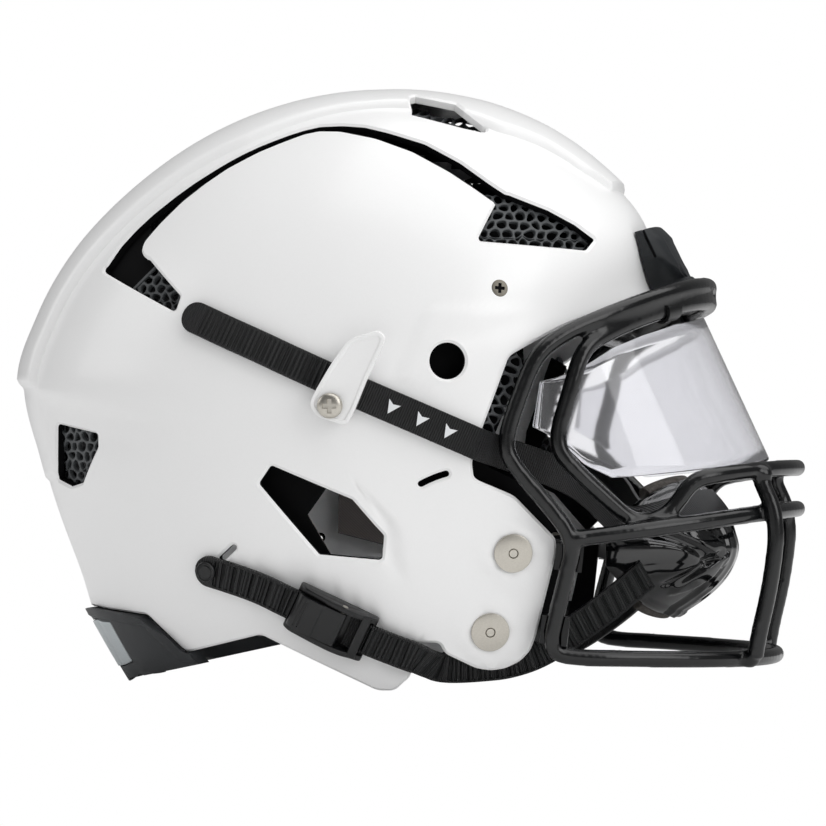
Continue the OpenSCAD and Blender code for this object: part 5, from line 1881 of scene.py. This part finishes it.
    def nape_bumper(self) -> Piece:
        """Makes the bumper with its raised lip along the shell's edge and its pocket.

        Returns:
            The bumper.
        """
        turns, shares = np.linspace(-49, 49, 121), np.linspace(0, 1, 31)
        b, u = np.meshgrid(turns, shares)
        p = FORM.over(self.ray(b, u), b, self.proud(b, u))
        edge = rounded(Shell.edge, Shell.edge_radius, 6)
        gap = -edge_distance(p[..., 0], p[..., 2], edge)
        top = np.minimum(gap, 40 * u)
        raised = 0.8 * ramp(top, 4.6, 3.6) - 0.25 * np.exp(-((top - 4.8) / 0.5) ** 2)
        bumper = self.layer("nape_bumper", turns, shares, raised, 0 * u - self.nape_thick)
        legs = np.roll(edge, -1, axis=0) - edge
        sides = np.stack([legs[:, 1], -legs[:, 0]], -1) / np.linalg.norm(legs, axis=1, keepdims=True)
        carve(bumper, prism("shell_side", edge + math.copysign(self.nape_gap, signed_area(edge)) * sides, -140, 140))
        self.trim_under(bumper)
        pocket = self.layer("pocket", np.linspace(-self.insert_turns - 0.4, self.insert_turns + 0.4, 30),
                            np.linspace(*self.insert_share, 9), 3.0, -self.insert_thick - 0.15)
        carve(bumper, pocket)
        bevelled(bumper, 0.5, 2, 50)
        return smoothed(bumper, 35)

    def insert(self) -> Piece:
        """Makes the pale insert with its steps along both sides.

        Returns:
            The insert.
        """
        sides = sorted({s * k for s in (-1, 1) for k in (*[p[0] for p in self.insert_steps], 0.25, 0.5)})
        turns = np.array(sides) * self.insert_turns
        shares = np.linspace(self.insert_share[0] + 0.014, self.insert_share[1] - 0.014, 21)
        b, _ = np.meshgrid(turns, shares)
        high = 0.1 + np.interp(np.abs(b) / self.insert_turns, *zip(*self.insert_steps))
        piece = self.layer("nape_insert", turns, shares, high, 0 * b - self.insert_thick)
        bevelled(piece, 0.25, 2, 50)
        return smoothed(piece, 30)

    def holding_lip(self) -> Piece:
        """Makes the lip that reaches up behind the shell.

        Returns:
            The lip.
        """
        turns = np.linspace(-40, 40, 61)
        b, u = np.meshgrid(turns, [r[0] for r in self.lip])
        depth = np.array([r[1] for r in self.lip])[:, None] - FORM.wall + 0 * b
        rays = self.ray(b, u)
        lip = slab("nape_lip", FORM.over(rays, b, depth), FORM.over(rays, b, 0 * b - FORM.wall - self.lip_thick))
        self.trim_under(lip)
        bevelled(lip, 0.4, 2, 50)
        return smoothed(lip, 35)

    def build(self) -> None:
        """Builds the bumpers."""
        dress(self.brow_plate(), BUMPER, nodes=["brow_plate"])
        dress(self.nape_bumper(), BUMPER, nodes=["nape_bumper"])
        dress(self.holding_lip(), BLACK_PLASTIC, nodes=["nape_bumper"])
        dress(self.insert(), INSERT, nodes=["nape_insert"])


@dataclass
class Lattice:
    """The printed lattice of the liner that shows through the vents, and the dark cloth behind it."""

    pitch: float = 4.6
    web: float = 0.62
    depth: float = 5.2
    thickness: float = 2.2
    behind: float = 4.0
    cloth: float = 0.8
    # How far the cheek's grey-brown face lies on the dark cloth, and the cloth's reach round a field
    face_step: float = 0.85
    margin: float = 7.0
    square: float = 4.0
    # Distance between rows of cells, as a share of their pitch
    row_share: float = 0.866
    # Nothing is drawn closer to the middle plane than this share of the shell's rays
    last_share: float = 0.975
    jitter: float = 0.2
    seed: int = 11
    # Fields in the side view
    fields: tuple = (
        ("front", ((40, 182), (60, 178), (91, 180), (94, 190), (66, 206), (46, 208))),
        ("rear", ((-110, 166.5), (-98, 179), (-88, 180), (-74, 163), (-77, 152), (-98, 157))),
        ("nape", ((-147, 112), (-112, 110), (-112, 98), (-122, 80), (-147, 82))),
        ("top", ((2, 252), (2, 240), (40, 227), (48, 232), (30, 250))),
        ("face", ((59, 142), (45, 109), (43, 98), (49, 96), (54.5, 108), (66.5, 138))),
    )
    # Where a vent shows the black liner beside the lattice, and the straight rim between the two
    plain: tuple = ((-127, 172), (-110.6, 163.7), (-104, 199), (-93.3, 180.1))
    rim: tuple = ((-108.2, 166), (-107.5, 165.2), (-94.2, 179.3), (-93.5, 178.5))
    cover_depth: float = 3.8
    # Patches of dark cloth with straight sides: name, and corners in the side view
    patches: tuple = (
        ("port", ((22, 124), (44, 124), (22, 147), (44, 147))),
        ("slit", ((15, 93), (39, 96), (15, 78), (39, 82))),
        ("face_high", ((59, 142), (66.5, 138), (45, 109), (54.5, 108))),
        ("face_low", ((45, 109), (54.5, 108), (43, 98), (49, 96))),
        ("edge_high", ((43, 98), (49, 96), (43, 86), (50.5, 90.5))),
        ("edge_middle", ((43, 86), (50.5, 91), (58, 79), (62.5, 85.3))),
        ("edge_low", ((58, 79), (62.5, 85.3), (74, 62), (79.5, 67))),
        ("edge_front", ((74, 62), (80.5, 63), (65, 20), (76.5, 22))),
        ("jaw_high", ((-48, 95), (-16, 84), (-48, 75), (-26, 71))),
        ("jaw_low", ((-48, 75), (-26, 71), (-48, 60), (-15, 52))),
    )

    def sheet(self, name: str, outline: Sequence[Point], d: float, step: float, hexes: bool) -> Piece:
        """Makes a sheet of faces under the shell over a field of the side view.

        Args:
            name: The piece's name.
            outline: The field.
            d: How far out of the shell's outside the sheet lies.
            step: Size of its cells.
            hexes: Whether the cells are uneven hexagons or plain squares.

        Returns:
            The open sheet of the right side.
        """
        draw = np.random.default_rng(self.seed)
        low, high = np.min(outline, axis=0), np.max(outline, axis=0)
        points, faces, known = [], [], {}

        def corner(x: float, z: float) -> int:
            """Gives the number of the point at a corner, which is drawn once for all the cells that share it."""
            key = (round(x, 2), round(z, 2))
            if key not in known:
                known[key] = len(points)
                shift = draw.uniform(-1, 1, 2) * step * self.jitter if hexes else (0, 0)
                points.append(FORM.wall_point(x + shift[0], z + shift[1], RIGHT, d))
            return known[key]

        rise = step * self.row_share
        rows = int((high[1] - low[1]) / rise) + 2
        columns = int((high[0] - low[0]) / step) + 2
        arms = [math.radians(30 + 60 * k) for k in range(6)]
        reach = step / math.sqrt(3)
        for j in range(rows):
            for i in range(columns):
                x = low[0] + (i + (0.5 * (j % 2) if hexes else 0)) * step
                z = low[1] + j * step * self.row_share
                a = math.degrees(math.atan2(z - FORM.pole[1], x - FORM.pole[0]))
                share = math.hypot(x - FORM.pole[0], z - FORM.pole[1]) / float(FORM.ray(np.array(a))[0])
                if share > self.last_share or edge_distance(np.array(x), np.array(z), outline) < 0:
                    continue
                ring = [(x, z), (x + step, z), (x + step, z + rise), (x, z + rise)]
                if hexes:
                    ring = [(x + reach * math.cos(t), z + reach * math.sin(t)) for t in arms]
                faces.append([corner(*p) for p in ring])
        return new_object(name, np.array(points), faces)

    def webs(self, name: str, outline: Sequence[Point]) -> Piece:
        """Makes the lattice of one field, with round-cornered holes.

        Args:
            name: The piece's name.
            outline: The field.

        Returns:
            The lattice of the right side.
        """
        obj = self.sheet(name, outline, -self.depth, self.pitch, True)
        bm = bmesh.new()
        bm.from_mesh(obj.data)
        cells = bm.faces[:]
        bmesh.ops.inset_individual(bm, faces=cells, thickness=self.web * MM)
        bmesh.ops.delete(bm, geom=cells, context="FACES")
        bm.to_mesh(obj.data)
        bm.free()
        modify(obj, "SOLIDIFY", thickness=self.thickness * MM, offset=0, use_even_offset=False)
        modify(obj, "SUBSURF", levels=2)
        return smoothed(obj, 60)

    def build(self) -> None:
        """Builds the lattice and its backing on both sides."""
        webs, backs = [], []
        for name, outline in self.fields:
            web = self.webs(f"lattice_{name}", outline)
            webs += [web, mirrored(web, f"{web.name}_left")]
            if name != "face":
                backs += self.backing(name, grown(outline, self.margin))
        cover = self.cover_depth - self.depth - self.behind
        backs += [self.patch("rear_cover", side, self.plain, cover) for side in (RIGHT, LEFT)]
        webs += [self.patch("rear_rim", side, self.rim, cover - 0.05) for side in (RIGHT, LEFT)]
        faces = []
        for place, corners in self.patches:
            for side in (RIGHT, LEFT):
                backs.append(self.patch(place, side, corners, 0.0))
                if place.startswith("jaw"):
                    faces.append(self.patch(place, side, corners, self.face_step))
        dress(joined("liner_cheek_face", faces), SUEDE)
        dress(joined("liner_lattice", webs), LATTICE)
        dress(joined("liner_backing", backs), LINING_AND_SHADE)

    def patch(self, name: str, side: int, corners: Sequence[Point], deeper: float) -> Piece:
        """Makes one four-cornered patch of cloth under the wall of a side.

        Args:
            name: The piece's name.
            side: RIGHT or LEFT.
            corners: Its corners in the side view.
            deeper: How far under the plain backing it lies.

        Returns:
            The patch.
        """
        s, t = np.meshgrid(np.linspace(0, 1, 9), np.linspace(0, 1, 9), indexing="ij")
        top, low = (np.array([[FORM.wall_point(x, z, side, -self.depth - self.behind - deeper - d) for x, z in row]
                              for row in in_field(corners, t, s)]) for d in (0, self.cloth))
        return smoothed(slab(f"backing_{name}", top, low), 40)

    def backing(self, name: str, outline: Sequence[Point]) -> list[Piece]:
        """Makes the dark sheet behind a field on both sides.

        Args:
            name: The piece's name.
            outline: The field.

        Returns:
            The right and the left sheet.
        """
        back = self.sheet(f"backing_{name}", outline, -self.depth - self.behind, self.square, False)
        modify(back, "SOLIDIFY", thickness=self.cloth * MM, offset=0)
        smoothed(back, 40)
        return [back, mirrored(back, f"{back.name}_left")]


@dataclass
class ChinCup:
    """The polished cup with its strap slots, the foam in it and the band across it."""

    tip: Pair = (142.6, 57.5)
    half: Pair = (39.0, 29.0)
    heart: Triple = (86.6, 0.0, 57.5)
    rim: tuple = ((-90, 26), (-45, 41), (-15, 52), (15, 52), (45, 39), (90, 18))
    wall: float = 2.8
    foam: float = 6.0
    foam_gap: float = 0.6
    # The foam's rolled edges: how far they stand beyond the cup, and their radius
    roll: Pair = (2.2, 3.4)
    band: Pair = (34.0, 83.0)
    band_gap: float = 0.3
    band_thick: float = 2.2
    # Raised covers over the strap slots: middle and half sizes in shares, turn in degrees, height in mm
    covers: tuple = ((0.2, 0.66, 0.5, 0.13, 34, 2.0), (-0.42, 0.52, 0.42, 0.12, -26, 1.8))
    # The foam is thinner by this much at its edges
    pinch: float = 1.6

    def point(self, u: Array, v: Array) -> Array:
        """Gives points of the cup's outside, u up and v across, each from -1 to 1.

        Args:
            u: Places up, from -1 to 1.
            v: Places across, from -1 to 1.

        Returns:
            The points.
        """
        up, out = u * np.sqrt(1 - v * v / 2), v * np.sqrt(1 - u * u / 2)
        r = np.hypot(up, out)
        turn = np.degrees(np.arctan2(up, np.abs(out) + 1e-9))
        side = np.cos(np.radians(turn)) ** 2
        g = (1 - np.maximum(1 - r ** 2.4, 0) ** 0.55) * side + r ** 2.1 * (1 - side)
        return np.stack([self.tip[0] - np.interp(turn, *zip(*self.rim)) * g, self.half[0] * out,
                         self.tip[1] + self.half[1] * up], -1)

    def over(self, u: Array, v: Array, d: Array | float) -> Array:
        """Gives the same points moved d away from the middle of the chin.

        Args:
            u: Places up, from -1 to 1.
            v: Places across, from -1 to 1.
            d: Millimetres outwards.

        Returns:
            The points.
        """
        p = self.point(u, v)
        n = p - np.array(self.heart)
        return p + np.asarray(d)[..., None] * n / np.linalg.norm(n, axis=-1, keepdims=True)

    def relief(self, u: Array, v: Array) -> Array:
        """Gives the height of the cup's ribs, its rim bead and its slot covers.

        Args:
            u: Places up, from -1 to 1.
            v: Places across, from -1 to 1.

        Returns:
            The heights.
        """
        side = np.abs(v)
        # The middle is raised between two grooves, with a rib on each side of it
        out = 1.2 * ramp(side, 0.36, 0.32) - 0.7 * np.exp(-((side - 0.39) / 0.025) ** 2)
        out += 0.7 * np.exp(-((side - 0.2) / 0.05) ** 2)
        reach = np.maximum(np.abs(u), side)
        out += 0.9 * ramp(reach, 0.9, 0.94)
        for cu, cv, long, wide, turn, high in self.covers:
            c, s = math.cos(math.radians(turn)), math.sin(math.radians(turn))
            along, across = (u - cu) * c + (side - cv) * s, -(u - cu) * s + (side - cv) * c
            r = np.hypot(along / long, across / wide)
            out += high * ramp(r, 1.0, 0.72)
            # The strap's slot opens along the cover's edge
            out -= 1.4 * np.exp(-((across - wide * 1.25) / 0.05) ** 2) * ramp(np.abs(along), long, long * 0.7)
        return out * ramp(reach, 1.0, 0.985)

    def build(self) -> None:
        """Builds the cup, its foam and its band."""
        u, v = np.meshgrid(np.linspace(-1, 1, 111), np.linspace(-1, 1, 141), indexing="ij")
        cup = slab("chin_cup", self.over(u, v, self.relief(u, v)), self.over(u, v, 0 * u - self.wall))
        bevelled(cup, 0.5, 2, 60)
        smoothed(cup, 40)
        dress(cup, CUP, nodes=["chin_cup"])
        u, v = np.meshgrid(np.linspace(-1, 1, 33), np.linspace(-1, 1, 41), indexing="ij")
        low = self.wall + self.foam_gap
        edge = np.maximum(np.abs(u), np.abs(v))
        pinch = self.pinch * ramp(edge, 0.86, 1.0)
        foam = slab("chin_foam", self.over(u, v, 0 * u - low), self.over(u, v, -low - self.foam + pinch))
        bevelled(foam, 1.2, 3, 50)
        across = np.linspace(-0.8, 0.8, 25)
        rolls = [tube("roll", self.over(0 * across + end, across, -low - 2.4) + np.array([0, 0, end * self.roll[0]]),
                      self.roll[1]) for end in (-1, 1)]
        foam = smoothed(joined("chin_foam", [foam, *rolls]), 60)
        dress(foam, FOAM, nodes=["chin_cup_foam"])
        u, v = np.meshgrid(np.linspace(self.band[0], self.band[1], 9) / 100, np.linspace(-1, 1, 121), indexing="ij")
        low = self.over(u, v, self.band_gap + 0 * u)
        band = slab("chin_band", self.over(u, v, self.band_gap + self.band_thick + 0 * u), low)
        weave = band.data.uv_layers.new(name="weave")
        for loop in band.data.loops:
            co = band.data.vertices[loop.vertex_index].co
            weave.data[loop.index].uv = (math.copysign(1, co.y) * abs(co.y) * 1.25 + 1, co.z)
        bevelled(band, 0.4, 2, 60)
        smoothed(band, 40)
        dress(band, WEBBING, nodes=["chin_strap_band"])


# Mean distance of the pads from the ear axis, in millimetres
PAD_REACH = 118.0


@dataclass(frozen=True)
class Pad:
    """One cushion of the liner: its rays and turns about the shell, or the corners of a side wall field."""

    name: str
    rays: Pair = (0.0, 0.0)
    turns: Pair = (0.0, 0.0)
    thick: float = 20.0
    lift: float = 5.5
    corners: tuple = ()
    seams: tuple = ()

    def size(self) -> Pair:
        """Gives the pad's length along its rays and its width across them, in millimetres.

        Returns:
            Length and width.
        """
        if not self.corners:
            return tuple(math.radians(high - low) * PAD_REACH for low, high in (self.rays, self.turns))
        c = np.array(self.corners, float)
        along, across = c[1] + c[3] - c[0] - c[2], c[2] + c[3] - c[0] - c[1]
        return float(np.linalg.norm(along) / 2), float(np.linalg.norm(across) / 2)

    def share(self, points: Array) -> Array:
        """Gives how far along the pad each point lies, from 0 at its first edge to 1 at its last.

        Args:
            points: The points.

        Returns:
            The shares.
        """
        x, z = points[:, 0], points[:, 2]
        if not self.corners:
            turn = np.degrees(np.arctan2(z - FORM.pole[1], x - FORM.pole[0]))
            return ((turn - self.rays[0] + 90) % 360 - 90) / (self.rays[1] - self.rays[0])
        c = np.array(self.corners, float)
        start, run = (c[0] + c[2]) / 2, (c[1] + c[3] - c[0] - c[2]) / 2
        return ((x - start[0]) * run[0] + (z - start[1]) * run[1]) / float(run @ run)


@dataclass
class Liner:
    """The covered pads inside the shell."""

    # Each pad's body starts smaller by this much on every side, to leave room for its swelling
    shrink: float = 4.4
    steps: Pair = (2.6, 3.0)
    # How much thinner a pad is at the middle of an edge, as a share of its thickness
    crown: float = 0.3
    voxel: float = 4.0
    # The cloth simulation: the mass of a point, its stiffness, the pressure inside and the length in frames
    mass: float = 0.2
    stiffness: float = 12.0
    pressure: float = 4.0
    frames: int = 20
    swell_cap: float = 5.0
    seam_depth: float = 2.2
    seam_width: float = 3.4
    pads: tuple = (
        Pad("brow_pad", (24, 61), (-33, 33), 17.0, seams=(0.5,)),
        Pad("crown_pad", (65, 115), (-31, 31), 24.0, seams=(0.34, 0.67)),
        Pad("back_pad", (119, 160), (-33, 33), 24.0, seams=(0.5,)),
        Pad("nape_pad", (164, 207.5), (-42, 42), 24.0, seams=(0.5,)),
        Pad("side_pad_right", (39, 160), (-60, -36), 21.0, seams=(0.2, 0.4, 0.6, 0.8)),
        Pad("jaw_pad_right", thick=20.0, lift=9.7, corners=((24, 26), (8, 78), (54, 20), (60, 66)), seams=(0.5,)),
    )

    def point(self, pad: Pad, s: Array, t: Array, d: Array) -> Array:
        """Gives points of a pad at shares s and t of its field, d millimetres under the shell's outside.

        Args:
            pad: The pad.
            s: Shares along its field.
            t: Shares across it.
            d: Depths under the shell's outside.

        Returns:
            The points.
        """
        if not pad.corners:
            a = pad.rays[0] + (pad.rays[1] - pad.rays[0]) * s
            b = pad.turns[0] + (pad.turns[1] - pad.turns[0]) * t
            return FORM.over(a, b, -d)
        place = in_field(pad.corners, s, t).reshape(-1, 2)
        flat = [FORM.wall_point(x, z, RIGHT, -depth) for (x, z), depth in zip(place, d.reshape(-1))]
        return np.array(flat).reshape(*s.shape, 3)

    def cushion(self, pad: Pad) -> Piece:
        """Makes the pad's body, crowned towards the head and pulled in at its edges.

        Args:
            pad: The pad.

        Returns:
            The cushion.
        """
        shares = [np.linspace(self.shrink / span, 1 - self.shrink / span, int(span / step))
                  for span, step in zip(pad.size(), self.steps)]
        s, t = np.meshgrid(*shares, indexing="ij")
        full = (1 - self.crown * (2 * s - 1) ** 4) * (1 - self.crown * (2 * t - 1) ** 4)
        near = pad.lift + self.shrink + 0 * s
        far = near + (pad.thick - 2 * self.shrink) * full
        body = slab(pad.name, self.point(pad, s, t, near), self.point(pad, s, t, far))
        bevelled(body, 2.0, 2, 50)
        self.filled(body)
        self.sewn(pad, body)
        return smoothed(body, 80)

    def filled(self, body: Piece) -> None:
        """Blows the pad up as cloth, and keeps each point within its cap.

        Args:
            body: The pad's body.
        """
        modify(body, "REMESH", mode="VOXEL", voxel_size=self.voxel * MM)
        start = [v.co.copy() for v in body.data.vertices]
        pick(body)
        cloth = body.modifiers.new("cloth", "CLOTH")
        cloth.settings.quality = 6
        cloth.settings.mass = self.mass
        cloth.settings.tension_stiffness = self.stiffness
        cloth.settings.compression_stiffness = self.stiffness
        cloth.settings.use_pressure = True
        cloth.settings.uniform_pressure_force = self.pressure
        cloth.settings.effector_weights.gravity = 0
        cloth.collision_settings.use_collision = False
        cloth.point_cache.frame_start, cloth.point_cache.frame_end = 1, self.frames
        for number in range(1, self.frames + 1):
            bpy.context.scene.frame_set(number)
        bpy.ops.object.modifier_apply(modifier=cloth.name)
        bpy.context.scene.frame_set(1)
        far = 0.0
        for v, before in zip(body.data.vertices, start):
            move = v.co - before
            far = max(far, move.length / MM)
            if move.length > self.swell_cap * MM:
                v.co = before + move.normalized() * self.swell_cap * MM
        LOG.info("%s swells by up to %.1f mm before its cap", body.name, far)
        modify(body, "SUBSURF", levels=1)

    def sewn(self, pad: Pad, body: Piece) -> None:
        """Presses the sewn channels into the side of a pad that faces the head.

        Args:
            pad: The pad.
            body: Its body.
        """
        vertices = body.data.vertices
        points = np.array([v.co[:] for v in vertices]) / MM
        outs = FORM.normal_at(points)
        inner = ramp(-np.sum(np.array([v.normal[:] for v in vertices]) * outs, 1), 0.1, 0.6)
        along = pad.share(points) * pad.size()[0]
        press = sum(np.exp(-((along - seam * pad.size()[0]) / self.seam_width) ** 2) for seam in pad.seams)
        points += outs * (self.seam_depth * inner * press)[:, None]
        vertices.foreach_set("co", (points * MM).ravel())
        body.data.update()

    def build(self) -> None:
        """Builds every pad and its copy on the left."""
        for pad in self.pads:
            piece = self.cushion(pad)
            pieces = [(piece, pad.name)]
            if pad.name.endswith("_right"):
                name = pad.name.replace("_right", "_left")
                pieces.append((mirrored(piece, name), name))
            for obj, node in pieces:
                obj.name = f"cushion_{node}"
                dress(obj, PAD_CLOTH, nodes=[node])


@dataclass
class Studio:
    """The pale floor, the soft lamps and the camera, which aren't part of the helmet."""

    azimuth: float = 8.0
    distance: float = 1800.0
    aim: Triple = (3.0, 0.0, 91.7)
    lens: float = 180.7
    sensor: float = 36.0
    # The photograph's horizon lies this many of its 826 pixels under the middle
    horizon_drop: float = 55.0
    picture: float = 826.0
    floor_size: float = 60.0
    lamp_aim: Triple = (0.0, 0.0, 120.0)
    # Brightness of the surroundings: as light, in glossy reflections, and as seen directly or through the visor
    room: float = 0.46
    room_gloss: float = 0.16
    backdrop: float = 1.0
    lamps: tuple = (
        # name, place, size and power of each soft box
        ("overhead", (400, -90, 1220), 1500, 11.0),
        ("front_right", (1300, -900, 700), 900, 6.2),
        ("rear", (-1300, -300, 700), 800, 2.6),
        ("behind_camera", (-300, -1900, 500), 800, 0.6),
    )

    def back(self) -> Array:
        """Gives the direction from the aim to the camera."""
        turn = math.radians(self.azimuth)
        return np.array([math.sin(turn), -math.cos(turn), 0.0])

    def camera(self) -> None:
        """Makes the camera at the photograph's angle."""
        data = bpy.data.cameras.new("camera")
        data.lens = self.lens
        data.sensor_width = self.sensor
        data.shift_y = self.horizon_drop / self.picture
        data.clip_end = 100.0
        camera = linked("camera", data)
        camera.location = Vector((np.array(self.aim) + self.back() * self.distance) * MM)
        camera.rotation_euler = (math.radians(90), 0, math.radians(self.azimuth))
        bpy.context.scene.camera = camera

    def floor(self) -> None:
        """Makes the floor that the helmet stands on, pure white to the camera as in the photograph."""
        deselect()
        bpy.ops.mesh.primitive_plane_add(size=self.floor_size)
        plane = bpy.context.active_object
        plane.name = "floor"
        material = bpy.data.materials.new("floor_paper")
        tree = empty_tree(material)
        rays = add_node(tree, "ShaderNodeLightPath", {}, {})
        paper = add_node(tree, "ShaderNodeBsdfDiffuse", {"Color": srgb("f4f4f4")}, {})
        white = add_node(tree, "ShaderNodeEmission", {"Color": (1, 1, 1, 1), "Strength": 1.0}, {})
        both = add_node(tree, "ShaderNodeMixShader", {}, {0: rays.outputs["Is Camera Ray"], 1: paper.outputs[0],
                                                          2: white.outputs[0]})
        add_node(tree, "ShaderNodeOutputMaterial", {}, {"Surface": both.outputs[0]})
        plane.data.materials.append(material)

    def lights(self) -> None:
        """Makes the soft boxes and the pale surroundings."""
        for name, place, size, power in self.lamps:
            data = bpy.data.lights.new(name, "AREA")
            data.shape = "SQUARE"
            data.size = size * MM
            data.energy = power
            lamp = linked(name, data)
            lamp.location = Vector(place) * MM
            aim = Vector(self.lamp_aim) * MM - lamp.location
            lamp.rotation_mode = "QUATERNION"
            lamp.rotation_quaternion = aim.to_track_quat("-Z", "Y")
        world = bpy.data.worlds.new("studio")
        bpy.context.scene.world = world
        tree = empty_tree(world)
        rays = add_node(tree, "ShaderNodeLightPath", {}, {})
        seen = add_node(tree, "ShaderNodeMath", {}, {0: rays.outputs["Is Camera Ray"],
                                                     1: rays.outputs["Is Transmission Ray"]}, operation="MAXIMUM")
        room = add_node(tree, "ShaderNodeMapRange", {"To Min": self.room, "To Max": self.room_gloss},
                        {"Value": rays.outputs["Is Glossy Ray"]})
        strength = add_node(tree, "ShaderNodeMapRange", {"To Max": self.backdrop},
                            {"Value": seen.outputs[0], "To Min": room.outputs["Result"]})
        glow = add_node(tree, "ShaderNodeBackground", {"Color": (1, 1, 1, 1)}, {"Strength": strength.outputs[0]})
        add_node(tree, "ShaderNodeOutputWorld", {}, {"Surface": glow.outputs[0]})

    def build(self) -> None:
        """Makes the whole stage."""
        self.camera()
        self.floor()
        self.lights()
        bpy.context.scene.view_settings.view_transform = "Standard"


PARTS = (Shell, FaceGuard, Visor, Straps, Hardware, Ratchet, Bumpers, Lattice, ChinCup, Liner)


def main() -> None:
    """Builds the helmet around the frame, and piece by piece."""
    logging.basicConfig(level=logging.INFO, format="%(name)s: %(message)s")
    Studio().build()
    for part in PARTS:
        part().build()


if __name__ == "__main__":
    main()
